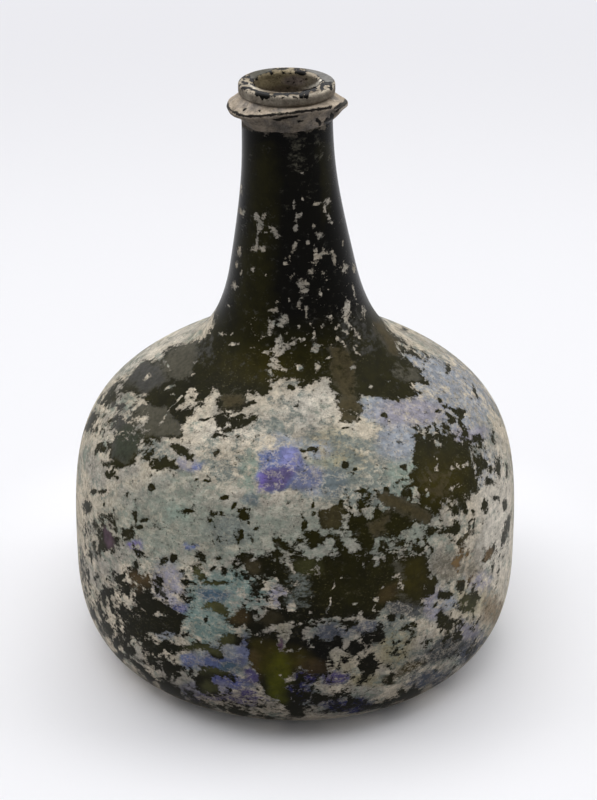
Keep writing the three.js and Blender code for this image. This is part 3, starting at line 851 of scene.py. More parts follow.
# Small holes in the crust
SMALL_HOLES = [
    (292, 387, 5, 2.5, 10), (302, 385, 3, 2), (252, 403, 5, 2, -15), (240, 416, 5, 2, -20),
    (217, 435, 3, 2.5), (217, 452, 3.5, 3, -30), (309, 449, 9, 2, -12), (316, 455, 1.5, 2.5),
    (347, 428, 5, 1), (205, 419, 8, 1.2), (100, 446, 5, 2.5, -45), (104, 451, 3, 3.5), (96, 453, 2, 3),
    (110, 474, 5, 3, -30), (117, 477, 3, 1.5), (103, 492, 4, 1.8, -10), (94, 491, 3.5, 2, -40),
    (127, 496, 1.5, 2.5), (104, 504, 1.2, 3), (151, 487, 3, 3), (209, 480, 4.5, 1.6), (188, 511, 4.5, 2),
    (223, 515, 4, 1.8, 15), (87, 507, 4, 5), (224, 498, 4, 2), (235, 507, 1.5, 4, 30), (135, 515, 3, 3),
    (137, 520, 1.2, 3.5), (139, 528, 2.5, 1.5, -30), (145, 521, 3.5, 1.2), (136, 551, 1.2, 6, -35),
    (142, 553, 1.2, 5, -50), (123, 576, 2.5, 2), (163, 562, 3, 4), (173, 560, 3.5, 4), (218, 557, 3, 2),
    (212, 568, 2, 2), (222, 570, 3.5, 3), (187, 582, 4.5, 2.5, 10), (257, 527, 3, 1.4, -30),
    (241, 534, 2, 4), (300, 541, 3, 1.5), (304, 525, 2.5, 6), (312, 516, 2, 1.6), (312, 504, 1.6, 3),
    (345, 511, 4.5, 1.6, -10), (362, 491, 5, 1.6), (368, 505, 3, 1.5), (403, 468, 3, 2.2),
    (410, 477, 1.6, 2.2), (410, 493, 2.4, 1.4), (345, 464, 2, 2), (355, 470, 2.5, 1.5), (448, 368, 2, 5),
    (426, 385, 3, 1.5), (440, 399, 3, 1.2), (446, 405, 4, 2, 35), (454, 410, 4, 1.8, 35),
    (461, 414, 4, 4.5), (448, 415, 3, 1.6, 40), (453, 421, 3.5, 3), (461, 424, 2, 4, -15), (465, 432, 3, 4),
    (385, 415, 2.6, 2.6), (388, 422, 2.2, 1.5), (396, 401, 4, 1.4, 25), (438, 410, 3.4, 1.6, -20),
    (478, 438, 3.5, 2.5), (493, 437, 1.6, 6, -12), (475, 392, 1.4, 6, -25), (418, 437, 4, 3),
    (430, 437, 4, 2.5), (489, 482, 4, 4), (491, 470, 2, 3), (498, 466, 3, 9), (484, 506, 3, 7),
    (496, 497, 2, 2.5), (505, 505, 1.6, 4), (506, 470, 1.5, 6), (468, 497, 2.2, 1.8), (466, 511, 2.6, 4),
    (473, 512, 1.6, 2.2), (470, 525, 1.6, 2.2), (400, 543, 4, 3), (418, 549, 3.4, 2.5), (432, 549, 1.7, 3),
    (426, 543, 2, 1.6), (418, 541, 2, 2), (433, 583, 6.5, 2.6, -10), (460, 585, 4, 5), (434, 604, 2.6, 2.6),
    (445, 596, 5, 3, -20), (430, 590, 4, 4), (506, 530, 2, 14, 15), (401, 618, 2, 2),
    (392, 618, 3, 3.5, 30), (206, 620, 2, 3), (215, 672, 8, 2.5, 10), (212, 686, 5, 2.6, 25),
    (173, 690, 8, 4, 20), (284, 604, 3, 6), (262, 705, 4, 2), (404, 329, 3, 1.4, 20), (117, 642, 4, 4),
    (130, 650, 4, 3), (146, 646, 4, 3), (120, 656, 4, 2.5, 40), (150, 678, 5, 2, 35), (165, 686, 3, 3),
]

# Larger scraps of crust left on bare glass
SCRAPS = [
    [(186, 392), (193, 385), (199, 393), (197, 399), (208, 402), (206, 406), (195, 404), (184, 411),
     (176, 411), (174, 408), (181, 403)],
    [(274, 340), (281, 334), (284, 339), (283, 344), (307, 336), (305, 340), (297, 342), (280, 356),
     (278, 352), (259, 355), (262, 351), (275, 346)],
    [(268, 318), (274, 320), (276, 326), (275, 334), (270, 336), (267, 334)],
    [(253, 214), (257, 213), (261, 217), (264, 211), (266, 215), (262, 233), (258, 234)],
    [(269, 223), (278, 228), (282, 238), (276, 239), (268, 228)],
    [(294, 240), (297, 243), (296, 250), (291, 259), (287, 259)],
    [(315, 247), (319, 252), (325, 249), (332, 250), (336, 255), (334, 260), (331, 254), (324, 255),
     (316, 265)],
    [(238, 207), (243, 207), (246, 212), (244, 219), (238, 213)],
    [(391, 580), (394, 574), (400, 572), (404, 586), (400, 591), (397, 588), (400, 582), (397, 577)],
    [(251, 618), (264, 608), (270, 612), (259, 622), (252, 622)],
    [(283, 623), (293, 623), (293, 630), (284, 646), (278, 650)],
    [(302, 632), (306, 629), (314, 636), (310, 640), (304, 638)],
    [(154, 616), (160, 611), (160, 615), (168, 617)],
    [(161, 636), (164, 631), (168, 631), (177, 639), (162, 640)],
    [(160, 652), (164, 648), (171, 655), (166, 658), (161, 656)],
    [(243, 698), (260, 683), (266, 697), (281, 703), (290, 715), (278, 714)],
    [(296, 684), (304, 682), (311, 686), (310, 691), (300, 690)],
    [(330, 683), (334, 682), (336, 690), (334, 695), (329, 694)],
]

# Small scraps of crust on the neck and its foot
NECK_FLECKS = [
    (241, 190, 1.5, 7), (265, 232, 3, 1.5), (257, 240, 1.5, 8), (258, 249, 9, 3), (263, 248, 2.5, 3),
    (240, 251, 3.5, 6), (237, 264, 2, 4), (253, 269, 3, 2.5), (241, 273, 1.6, 2.2), (234, 286, 3, 5),
    (294, 205, 2.5, 5.5), (299, 215, 5, 2.6, -40), (296, 227, 3, 6), (285, 262, 2, 3),
    (317, 203, 5, 2.2, -10), (328, 202, 3, 4), (325, 210, 2, 6, -15), (329, 218, 2, 5), (332, 223, 2, 2),
    (314, 226, 2, 3), (319, 235, 3.5, 3.5), (308, 243, 2, 3), (315, 257, 2.5, 8), (335, 262, 1.8, 5),
    (345, 268, 4, 5.5), (354, 268, 1.6, 6), (343, 243, 1.2, 5), (311, 272, 3, 4, 30), (266, 275, 1.6, 2.2),
    (302, 283, 6, 3), (304, 289, 5.5, 4), (302, 297, 3, 3), (320, 293, 2, 4), (326, 288, 3, 1.5, 20),
    (347, 308, 3.5, 9), (345, 318, 3, 5), (363, 312, 3, 5), (306, 313, 2, 7), (298, 306, 2, 2),
    (273, 311, 4.5, 3), (277, 309, 1.6, 5), (283, 321, 4, 6, 30), (330, 317, 4, 3, 30),
    (354, 292, 1.3, 9, -15), (229, 306, 2, 1.5), (222, 334, 4.5, 1.8, 15), (232, 334, 1.8, 2),
    (233, 344, 8, 2, -10), (254, 348, 4, 1, 8), (285, 323, 4, 4), (262, 337, 2.8, 2.2), (314, 336, 1.8, 6),
    (315, 348, 3.6, 5), (320, 346, 3, 1.8), (328, 358, 6, 2, -28), (317, 366, 3, 5), (269, 361, 4, 1.6),
    (342, 342, 8, 2, 35), (357, 352, 8, 1.6, 45), (353, 368, 3.6, 3), (300, 218, 2.5, 1.5),
    (303, 198, 1.3, 3), (302, 173, 2, 1.8), (290, 300, 1.2, 3), (310, 323, 2, 2), (322, 326, 1.8, 4),
    (299, 327, 2, 1.6), (350, 326, 8, 1.4, 40), (358, 335, 8, 1.2, 50), (336, 328, 6, 1.4, -35),
    (346, 332, 6, 1.6, 35),
]

# Small scraps of crust on the bare places of the body
BODY_FLECKS = [
    (128, 373, 9, 3.4, -50), (136, 365, 7, 2, -30), (119, 388, 6, 2.5, -40), (147, 377, 5.5, 2.4, -35),
    (129, 397, 9, 5), (144, 395, 4, 2), (170, 387, 6.5, 1.8, -22), (173, 393, 2.6, 1.6), (101, 409, 6, 5),
    (104, 421, 3, 9, 30), (113, 414, 2, 3), (126, 416, 5, 4), (195, 363, 3, 1.6), (193, 374, 2.6, 1.6, -30),
    (168, 366, 1.4, 5, -30), (371, 386, 2, 2.4), (386, 381, 3.4, 1.3, 10), (95, 533, 1.8, 7, -25),
    (97, 549, 1.4, 3.4), (91, 548, 1.4, 8, -15), (436, 467, 3, 4), (437, 459, 2.5, 1.4, 30),
    (452, 468, 3, 4, 30), (458, 466, 1.6, 5, -30), (466, 465, 5.5, 2.6, -22), (455, 487, 8, 1.8, -28),
    (428, 494, 1.6, 6), (430, 480, 1.2, 4), (474, 466, 1.6, 15, -12), (445, 512, 3, 4), (364, 567, 2, 4),
    (377, 563, 4, 4), (341, 577, 1.8, 2.4), (311, 597, 1.6, 3.5, -20), (310, 613, 2, 2.5),
    (354, 603, 3, 2.5), (376, 600, 4, 3), (374, 609, 1.6, 4, 10), (383, 587, 3, 1.2, -20),
    (160, 614, 6.5, 2.2, 10), (157, 642, 3, 3), (150, 634, 5, 1.2, 20), (172, 662, 5, 1.2, 35),
    (178, 671, 3, 1.6), (173, 676, 2, 2), (308, 643, 1.6, 3), (312, 625, 3, 1.2), (306, 677, 4, 1.6, -20),
    (325, 686, 3, 1.4), (281, 676, 2, 3), (262, 641, 1.4, 3), (457, 661, 3, 4), (468, 618, 4, 3),
    (466, 604, 2, 3),
]

# Scratches through to a pale line: points along each
SCRATCHES = [
    [(226, 628), (236, 634), (247, 632), (251, 635), (262, 634), (268, 631), (276, 627), (283, 623),
     (300, 624), (310, 621), (320, 620), (340, 619), (360, 617)],
    [(245, 602), (246, 614), (244, 628)],
    [(336, 578), (332, 590), (331, 600), (326, 615)],
    [(286, 651), (300, 649), (313, 648), (310, 640)],
    [(404, 586), (404, 592)],
    [(182, 395), (172, 406), (160, 425)],
]

# The violet patch on the front: a colour, and the outline that it fills
VIOLET_PATCH = [
    (BLUE, [(259, 452), (280, 447), (300, 450), (303, 466), (321, 470), (318, 486), (284, 488),
            (275, 493), (261, 491), (255, 478), (261, 468)]),
    (STEEL, [(294, 470), (302, 464), (322, 468), (322, 484), (312, 489), (292, 490)]),
    (PERIWINKLE, [(279, 449), (300, 450), (302, 464), (292, 468), (281, 465)]),
    (VIOLET, [(258, 474), (274, 470), (272, 490), (258, 492)]),
    (PLUM, [(262, 472), (282, 466), (298, 468), (284, 490), (268, 490)]),
]

# Tints of the crust, one of them a painted highlight down the right edge: a colour, how strongly it shows,
# and its fleck
CRUST_TINTS = [
    (GREY_BEIGE, 0.7, (250, 510, 70, 25)), (GREY_BEIGE, 0.8, (330, 545, 60, 25)),
    (TAN, 0.8, (342, 462, 24, 12)), (TAN, 0.5, (330, 440, 30, 10)), (TAN, 0.9, (394, 646, 18, 20)),
    (TAN, 0.9, (362, 680, 18, 8)), (TAN, 0.5, (340, 662, 16, 10)), (TAN, 0.7, (287, 630, 8, 12)),
    (GREY_BEIGE, 0.8, (320, 634, 40, 24)), (PALE, 0.8, (455, 661, 5, 6)), (TAN, 0.6, (470, 600, 20, 14)),
    # The pale tint down the right edge, last on the line below, is painted light from the side
    (AMBER, 0.7, (492, 606, 8, 18)), (AMBER, 0.25, (462, 562, 18, 14)), (PALE, 0.9, (498, 520, 18, 66)),
    (PALE, 0.7, (160, 345, 50, 8, -32)), (PALE, 0.6, (450, 345, 44, 8, 34)),
    (PALE, 0.7, (310, 405, 30, 14)), (PALE, 0.5, (230, 430, 40, 14)),
    (GREY_BEIGE, 0.6, (290, 420, 40, 14)), (GREEN_GREY, 0.5, (170, 520, 66, 40)),
    (GREEN_GREY, 0.5, (290, 535, 90, 26)), (GREEN_GREY, 0.5, (400, 530, 45, 22)),
]

# Stains of the layer under the crust: a colour, how much of it is bare, and its fleck
STAINS = [
    (GREEN_GREY, 0.55, (170, 525, 66, 42)), (GREEN_GREY, 0.5, (270, 535, 80, 30)),
    (GREEN_GREY, 0.6, (400, 530, 45, 22)), (GREEN_GREY, 0.55, (330, 470, 44, 22)),
    (SLATE_GREEN, 0.45, (290, 425, 40, 16)), (SLATE_GREEN, 0.6, (345, 445, 40, 12)),
    (SAGE, 1.0, (178, 513, 13, 8)), (SAGE, 0.9, (396, 476, 24, 28)), (SLATE_TEAL, 0.9, (250, 503, 9, 6)),
    (SLATE_GREEN, 0.85, (348, 486, 46, 20, 8)), (SLATE_GREEN, 0.7, (372, 456, 22, 18)),
    (BLUE_GREY, 0.8, (318, 486, 20, 14)), (SLATE_GREEN, 0.7, (230, 470, 26, 14)),
    (SLATE_GREEN, 0.8, (230, 530, 26, 18)), (SLATE_GREEN, 0.7, (154, 452, 18, 14)),
    (TEAL, 0.85, (210, 612, 30, 36)), (TEAL, 0.6, (250, 592, 30, 16)),
    (SLATE_TEAL, 0.95, (332, 484, 14, 12)), (SLATE_GREEN, 0.95, (275, 432, 11, 12)),
    (SAGE, 0.7, (250, 474, 12, 22)), (BLUE_GREY, 0.6, (455, 400, 44, 44, 30)),
    (BLUE_GREY, 0.95, (378, 408, 20, 12)), (BLUE_GREY, 0.9, (398, 440, 22, 20)),
    (LAVENDER, 0.8, (412, 412, 34, 15)), (LAVENDER, 0.85, (470, 436, 17, 10, 10)),
    (BLUE_GREY, 0.75, (430, 370, 28, 14, 30)), (SLATE_GREEN, 0.45, (286, 400, 18, 12)),
    (LAVENDER, 0.75, (168, 585, 16, 24)), (SAGE, 0.3, (448, 543, 22, 10)),
    (DRAB, 0.8, (446, 568, 18, 15)), (DRAB, 0.6, (474, 570, 14, 9)), (LAVENDER, 0.8, (434, 604, 12, 16)),
    (BLUE_GREY, 0.5, (488, 470, 14, 20)), (LAVENDER, 0.6, (480, 580, 14, 10)),
    (BLUE_GREY, 0.5, (285, 443, 22, 8)), (BLUE_GREY, 0.6, (320, 450, 12, 8)),
    (DEEP_TEAL, 0.9, (214, 592, 16, 9)), (TEAL, 0.85, (222, 580, 26, 8)), (BLUE, 0.8, (195, 470, 9, 4)),
    (LAVENDER, 0.7, (184, 464, 12, 6)), (DUSK_BLUE, 0.8, (180, 606, 8, 6)), (BLUE, 0.9, (186, 660, 9, 8)),
    (BLUE_GREY, 1.0, (225, 655, 30, 14)), (BLUE, 1.0, (216, 664, 24, 9)), (STEEL, 1.1, (243, 650, 8, 18)),
    (DEEP_TEAL, 1.1, (231, 669, 10, 7)), (DUSK_BLUE, 1.0, (228, 684, 20, 8)),
    (PLUM, 0.95, (252, 677, 9, 9)), (LAVENDER, 0.9, (200, 692, 28, 8)),
    (LAVENDER, 0.7, (246, 700, 16, 8)), (BLUE, 0.7, (192, 546, 9, 3)),
    (VIOLET, 0.5, (136, 545, 8, 8, 40)), (BLUE_GREY, 0.8, (167, 636, 10, 7)),
    (SLATE_BLUE, 0.9, (331, 632, 18, 9)), (LAVENDER, 0.6, (282, 594, 12, 14)),
    (MAGENTA, 0.9, (281, 643, 5, 7)), (INDIGO, 0.9, (308, 678, 16, 6)), (PLUM, 0.8, (336, 678, 12, 9)),
    (NAVY, 0.9, (345, 706, 30, 7)), (NAVY, 0.8, (300, 694, 14, 12)), (SLATE, 0.95, (402, 609, 20, 10)),
    (SLATE, 0.9, (440, 652, 36, 12, -25)), (SLATE_BLUE, 0.8, (428, 680, 24, 8, -14)),
    (SLATE_BLUE, 0.8, (468, 650, 18, 7, -38)), (BROWN_FILM, 0.85, (408, 668, 20, 8, -20)),
    (BROWN_FILM, 0.95, (386, 678, 8, 6)), (SLATE_GREEN, 0.7, (392, 624, 16, 8)),
    (BLUE_GREY, 0.7, (448, 604, 14, 8)), (SLATE_BLUE, 0.7, (362, 626, 16, 8)),
    (LAVENDER, 0.7, (468, 630, 14, 10)), (PLUM, 0.5, (212, 698, 22, 6)), (PLUM, 0.6, (250, 698, 22, 8)),
]

# Painted shade: the heel and the edge of the foot, darkened where the light falls off towards the floor
SHADED_FOOT_EDGE = [(120, 668), (190, 690), (300, 702), (380, 700), (436, 676), (480, 676), (400, 750), (120, 740)]
SHADED_HEEL = [(120, 664), (190, 640), (260, 608), (420, 625), (520, 610), (520, 760), (120, 760)]

# Tints of the bare glass: a colour, how strongly it shows, and its fleck. The lit-through olive and green,
# and the olive up the neck, are painted glow of light shining through the glass
GLASS_TINTS = [
    (DARK_OLIVE, 0.9, (190, 620, 190, 70)), (BLACK_GLASS, 0.9, (320, 655, 34, 26)),
    (BLACK_GLASS, 0.6, (370, 640, 24, 40)), (DARK_OLIVE, 0.8, (330, 700, 80, 20)),
    (OLIVE, 1.0, (370, 582, 62, 28)), (OLIVE, 1.0, (445, 470, 40, 36)), (AMBER, 0.18, (388, 592, 10, 8)),
    (OLIVE_LIT_THROUGH, 1.0, (280, 660, 30, 14)), (GREEN_LIT_THROUGH, 0.6, (279, 676, 12, 26)),
    (AMBER, 0.3, (255, 664, 8, 16)), (AMBER, 0.25, (314, 668, 14, 8)),
    (OLIVE_LIT_THROUGH, 0.8, (262, 644, 14, 8)), (AMBER, 0.25, (238, 614, 12, 8)),
    (BROWN_FILM, 0.4, (272, 618, 12, 6)), (OLIVE_TAN, 0.9, (216, 607, 15, 8)),
    (OLIVE_TAN, 0.8, (204, 648, 22, 7)), (OLIVE_TAN, 0.9, (226, 638, 8, 6)),
    (OLIVE_TAN, 0.8, (220, 672, 20, 6)), (OLIVE_TAN, 0.7, (200, 572, 8, 8)),
    (OLIVE_TAN, 0.6, (214, 583, 12, 4)), (OLIVE_TAN, 0.7, (212, 688, 8, 6)),
    (BROWN_FILM, 0.7, (252, 568, 9, 7)), (BROWN_FILM, 0.5, (330, 518, 12, 12)),
    (BROWN_FILM, 0.6, (465, 538, 8, 7)), (AMBER, 0.9, (460, 564, 17, 14)), (AMBER, 0.7, (489, 552, 6, 9)),
    (OLIVE_LIT_THROUGH, 0.35, (256, 368, 44, 18)), (OLIVE, 0.6, (262, 200, 14, 60)),
    (AMBER, 0.8, (494, 604, 8, 18)), (MAGENTA, 0.5, (108, 537, 4, 12)),
    (DARK_OLIVE, 0.5, (205, 400, 60, 40)), (OLIVE, 0.8, (255, 290, 20, 60)),
    (OLIVE, 0.5, (326, 170, 8, 50)), (OLIVE_LIT_THROUGH, 0.5, (440, 480, 30, 24)),
    (OLIVE_LIT_THROUGH, 0.5, (412, 580, 16, 20)), (OLIVE_TAN, 0.5, (306, 568, 12, 8)),
    (AMBER, 0.35, (141, 580, 12, 10)), (OLIVE_TAN, 0.5, (470, 604, 12, 12)),
]

# The lip: bare grey glass on its flat top, dark chips along its front, and the pale edge of the mouth
LIP_OUTLINE = [(236, 60), (348, 60), (348, 100), (236, 100)]
LIP_GLASS = [
    [(303, 67), (316, 68), (328, 72), (335, 78), (333, 83), (326, 82), (321, 79), (316, 74), (306, 71)],
    [(250, 74), (256, 70), (266, 68), (277, 67), (269, 71), (260, 75), (254, 79), (250, 79)],
]
LIP_CHIPS = [
    (265, 95, 4.5, 3.5, 20), (262, 97, 1.8, 3.5), (277, 94, 3.4, 1.3), (286.6, 94, 2.6, 1.8),
    (294, 92.8, 4.5, 1.4, -8), (301, 95.4, 1.8, 3.2), (307, 94.6, 1.8, 3.8), (307, 90.6, 5, 1.7, -15),
    (314.5, 88.7, 3, 1.6, -20), (322, 86.8, 2, 3.8), (327, 84, 4, 1.6, -15), (257, 91, 4, 1.2, 25),
    (246, 83, 2.6, 1.3), (252, 80, 2.2, 1.6, 30), (253, 85, 3, 1.3, 20), (243, 82, 1.6, 1.1),
    (249, 77, 1.8, 1.2), (331, 86, 1.4, 2), (302, 73, 3.4, 2.6),
]
LIP_HAZE = (260, 73, 12, 7)
MOUTH_EDGE = [(249, 84), (254, 88), (260, 90.4), (268, 91.8), (282, 92.2), (296, 90.8), (309, 88),
              (316, 85.4), (321, 80)]

# Tints of the crust inside the mouth: a colour, how strongly it shows, and its fleck
BORE_TINTS = [
    (BORE_TAN, 0.9, (278, 80, 28, 14)), (BORE_PURPLE, 0.8, (294, 81, 11, 6)),
    (BORE_DARK, 0.9, (288, 91, 30, 5)),
]

# The string rim: the painted shadow line under its crest, its chips, the painted highlight where the light
# catches the collar, and the painted shade on the slope below
CREST_SHADOW_LINE = [(226, 104), (228, 108), (233, 111.7), (240, 114.8), (248, 116.6), (258, 116.2),
              (268, 115.2), (282, 113.7), (296, 112.2), (311, 110.3), (325, 108.4), (331, 106.6)]
RIM_CHIPS = [
    (341, 105, 6, 2.2, -30), (346, 101, 1.8, 3), (227, 105, 1.8, 4), (244.5, 109.8, 2.8, 1, -30),
    (259, 111.2, 1.6, 1), (280, 119, 5, 1.2, -8), (290, 117, 8, 0.9, -8), (318, 121, 3.2, 1.6, 30),
    (320, 124, 1.6, 1.6), (328, 123, 3.4, 5), (332, 117, 1.8, 3.5), (338, 110, 3, 1, -40),
    (300, 121, 3, 1),
]
COLLAR_HIGHLIGHT = (324, 122, 18, 13)
RIM_SHADOW_AREA = [(222, 108), (234, 114), (248, 118), (268, 117), (300, 113), (334, 108), (340, 112),
             (334, 142), (238, 142)]

# Thin films over the bare glass, and two painted sheens down the neck: a colour, how much of the film is
# there, and its outline
FILMS_AND_SHEENS = [
    (SLATE_GREEN, 0.5, [(284, 576), (300, 570), (312, 580), (312, 606), (298, 612), (282, 604)]),
    (SLATE, 0.6, [(160, 587), (164, 586), (168, 590), (166, 595), (161, 592)]),
    (HAZE_AND_SHEEN, 0.95, [(170, 350), (204, 334), (202, 352), (188, 379), (168, 379), (160, 366)]),
    (SLATE_FILM, 0.9, [(122, 382), (140, 362), (160, 364), (166, 380), (142, 398), (134, 384)]),
    (SLATE_FILM, 0.95, [(112, 402), (140, 400), (150, 404), (132, 414), (124, 462), (112, 458),
                        (110, 430)]),
    (HAZE_AND_SHEEN, 1.0, [(140, 405), (165, 408), (182, 426), (180, 437), (160, 437), (142, 432), (128, 424)]),
    (TEAL_FILM, 0.95, [(126, 424), (142, 432), (142, 444), (128, 462), (114, 456), (116, 434)]),
    (BROWN_FILM, 0.72, [(329, 345), (340, 343), (351, 354), (357, 366), (357, 393), (352, 399),
                       (343, 397), (330, 378)]),
    (BROWN_FILM, 0.9, [(372, 322), (381, 322), (400, 340), (401, 357), (390, 356), (374, 334)]),
    (BROWN_FILM, 0.85, [(340, 399), (356, 397), (362, 411), (350, 412), (358, 415), (358, 420),
                       (342, 422), (338, 410)]),
    (BROWN_FILM, 1.0, [(376, 490), (398, 496), (420, 507), (432, 515), (430, 523), (414, 520), (380, 503)]),
    (BROWN_FILM, 0.8, [(365, 526), (384, 512), (392, 512), (386, 534), (372, 537)]),
    (HAZE_AND_SHEEN, 0.6, [(392, 362), (416, 366), (422, 380), (404, 384), (392, 378)]),
    (BROWN_FILM, 0.55, [(420, 470), (452, 470), (452, 498), (430, 500), (420, 486)]),
    (HAZE_AND_SHEEN, 0.55, [(395, 560), (404, 560), (406, 600), (396, 600)]),
    (BROWN_FILM, 0.7, [(217, 394), (244, 394), (246, 406), (226, 411)]),
    (SLATE_FILM, 0.7, [(384, 600), (420, 602), (420, 618), (392, 616)]),
    # Painted sheens: the reflection down the neck below the collar, put in as faint haze
    (HAZE_AND_SHEEN, 0.42, [(288, 132), (306, 132), (306, 172), (299, 190), (290, 160)]),
    (HAZE_AND_SHEEN, 0.36, [(315, 134), (323, 134), (324, 158), (316, 158)]),
    (SLATE_FILM, 0.45, [(336, 316), (360, 312), (386, 346), (362, 360), (342, 344)]),
    (SLATE_FILM, 0.45, [(196, 342), (214, 332), (216, 362), (196, 366)]),
]

# How far the edges of the areas fade, in pixels
BODY_EDGE, DUST_EDGE, BARE_EDGE, SPECKLED_EDGE, HOLE_EDGE, SCRAP_EDGE = 12, 14, 6, 10, 5.6, 2.4
FILM_EDGE, VIOLET_EDGE, VIOLET_COVER_EDGE, HEEL_EDGE, FOOT_FADE = 5, 4, 3, 30, 10
LIP_GLASS_EDGE, UNDER_RIM_EDGE = 1.4, 2.5

# Covers of the seen body and the lip: the middle value, and how much of one or two patterns is added.
# A broken area has a middle of its own in the list.
SEEN_COVER, SPECKLED_COVER, LIP_COVER = (0.97, 0.3, 0.35), (0.02, 0.62), (0.62, 1.3)
BROKEN_SHARES = (0.9, 0.8)
SEEN_FILM, SEEN_STAIN, VIOLET_COVER, CREST_SHADOW_COVER = 0.1, (0.30, 0.5), 0.96, 0.05

# How whole the scraps, the flecks and the edges of the scratches are, and half the width of a scratch
SCRAP_COVER, FLECK_COVER, SCRATCH_COVER, SCRATCH_WIDTH = 0.72, 0.8, 0.85, 0.75

# The share of each colour that is left under the painted shade on the heel, at the foot and in the
# string rim's shadow, and the share of the painted highlight where the light catches the collar
HEEL_SHADE_SHARE, FOOT_SHADE_SHARE, COLLAR_SHADE_SHARE, RIM_SHADE_SHARE, CATCH_LIGHT = 0.66, 0.6, 0.38, 0.30, 1.5


def paint_body_crust(skin, wall):
    """Where the crust of the body is whole, broken up, gone, and left in scraps."""
    patterns = value_noise(skin.points, *BODY_PATCHES), value_noise(skin.points, *BODY_CRUMBS)
    specks = value_noise(skin.points, *BODY_SPECKS)
    wall.area("crust", varied(SEEN_COVER, *patterns), SEEN_BODY, BODY_EDGE)
    wall.area("crust", BARE, BARE_TOP, BARE_EDGE)
    wall.area("crust", varied(SPECKLED_COVER, specks), SPECKLED, SPECKLED_EDGE)
    for cover, corners in BROKEN:
        wall.area("crust", varied((cover, *BROKEN_SHARES), *patterns), corners, BARE_EDGE)
    for corners in HOLES:
        wall.area("crust", BARE, corners, HOLE_EDGE)
    wall.flecks("crust", BARE, SMALL_HOLES)
    fine = Painter(skin, skin.zone == OUTSIDE_ZONE, wander=2.4, cell=1.3)
    for corners in SCRAPS:
        fine.area("crust", SCRAP_COVER, corners, SCRAP_EDGE)
    fine.flecks("crust", FLECK_COVER, NECK_FLECKS + BODY_FLECKS)
    for points in SCRATCHES:
        fine.stroke("crust", SCRATCH_COVER, points, SCRATCH_WIDTH)


def paint_body_colours(skin, wall):
    """The colours of the body's crust, of the stained layer under it, of the films and of the glass, with
    painted sheens, painted glow and painted shade on the heel.
    """
    over_body = {
        "film": SEEN_FILM,
        "stain": varied(SEEN_STAIN, value_noise(skin.points, *BODY_STAINS)),
        "stain_tint": tones(skin.points, cell=12, seed=55, colours=(GREEN_GREY, SLATE_GREEN)),
        "crust_tint": tones(skin.points, cell=9, seed=57, colours=(BEIGE, GREY_BEIGE)),
    }
    for layer, value in over_body.items():
        wall.area(layer, value, SEEN_BODY, BODY_EDGE)
    wall.area("dust", 1, DUSTY, DUST_EDGE)
    for tint, amount, corners in FILMS_AND_SHEENS:
        wall.area("film", amount, corners, FILM_EDGE)
        wall.area("film_tint", tint, corners, FILM_EDGE)
    drift = Painter(skin, skin.zone == OUTSIDE_ZONE, wander=9, cell=7)
    drift.tints("crust_tint", CRUST_TINTS, edge=0.6)
    for tint, amount, place in STAINS:
        drift.spot("stain_tint", tint, *place, edge=0.4)
        drift.spot("stain", amount, *place, edge=0.55)
    for tint, corners in VIOLET_PATCH:
        wall.area("stain_tint", tint, corners, VIOLET_EDGE)
        wall.area("stain", VIOLET_COVER, corners, VIOLET_COVER_EDGE)
    drift.tints("glass_tint", GLASS_TINTS, edge=0.5)
    # Painted shade on the heel and along the foot's edge
    drift.dim(HEEL_SHADE_SHARE, SHADED_HEEL, HEEL_EDGE)
    drift.dim(FOOT_SHADE_SHARE, SHADED_FOOT_EDGE, FOOT_FADE)


def paint_lip(skin):
    """The lip and the bore, where the crust is hard and grey and chipped along the edges."""
    outside = skin.zone != INSIDE_ZONE
    top = Painter(skin, (skin.height > TOTAL_HEIGHT - LIP_ROUNDING) & outside, wander=0.5, cell=1)
    top.area("crust", varied(LIP_COVER, value_noise(skin.points, *LIP_CRUMBS)), LIP_OUTLINE, edge=1)
    lip = Painter(skin, skin.height > TOTAL_HEIGHT - FINISH_LENGTH, wander=0.9, cell=1.6)
    for corners in LIP_GLASS:
        for layer, value in (("crust", BARE), ("film", 1), ("film_tint", LIP_GREY)):
            lip.area(layer, value, corners, LIP_GLASS_EDGE)
    lip.spot("film_tint", HAZE_AND_SHEEN, *LIP_HAZE)
    lip.flecks("crust", BARE, LIP_CHIPS, edge=0.6)
    lip.flecks("film", 0, LIP_CHIPS, edge=0.6)
    lip.stroke("crust", WHOLE, MOUTH_EDGE, half_width=0.9)
    lip.stroke("crust_tint", MOUTH_PALE, MOUTH_EDGE, half_width=1.3)
    bore = Painter(skin, skin.zone == MOUTH_ZONE, wander=2, cell=2)
    bore.tints("crust_tint", BORE_TINTS)


def paint_collar(skin):
    """The collar of crust round the top of the neck: painted shade under the string rim, and a painted
    highlight where the light catches it.
    """
    collar = Painter(skin, skin.height > TOTAL_HEIGHT - COLLAR_DROP)
    collar.dim(COLLAR_SHADE_SHARE, RIM_SHADOW_AREA, UNDER_RIM_EDGE)
    collar.brighten("crust_tint", CATCH_LIGHT, COLLAR_HIGHLIGHT)


def paint_rim(skin):
    """The painted shadow line under the string rim's crest, its chips, the painted shade on its lower
    slope, and a painted highlight where the light catches it.
    """
    rim = Painter(skin, wander=0.8, cell=1.6)
    # Painted shadow: the crust is taken off along the line under the crest, down to the dark glass
    rim.stroke("crust", CREST_SHADOW_COVER, CREST_SHADOW_LINE, half_width=1.3)
    rim.flecks("crust", BARE, RIM_CHIPS, edge=0.7)
    rim.dim(RIM_SHADE_SHARE, RIM_SHADOW_AREA, UNDER_RIM_EDGE)
    for layer in skin.colours:
        rim.brighten(layer, CATCH_LIGHT, COLLAR_HIGHLIGHT)


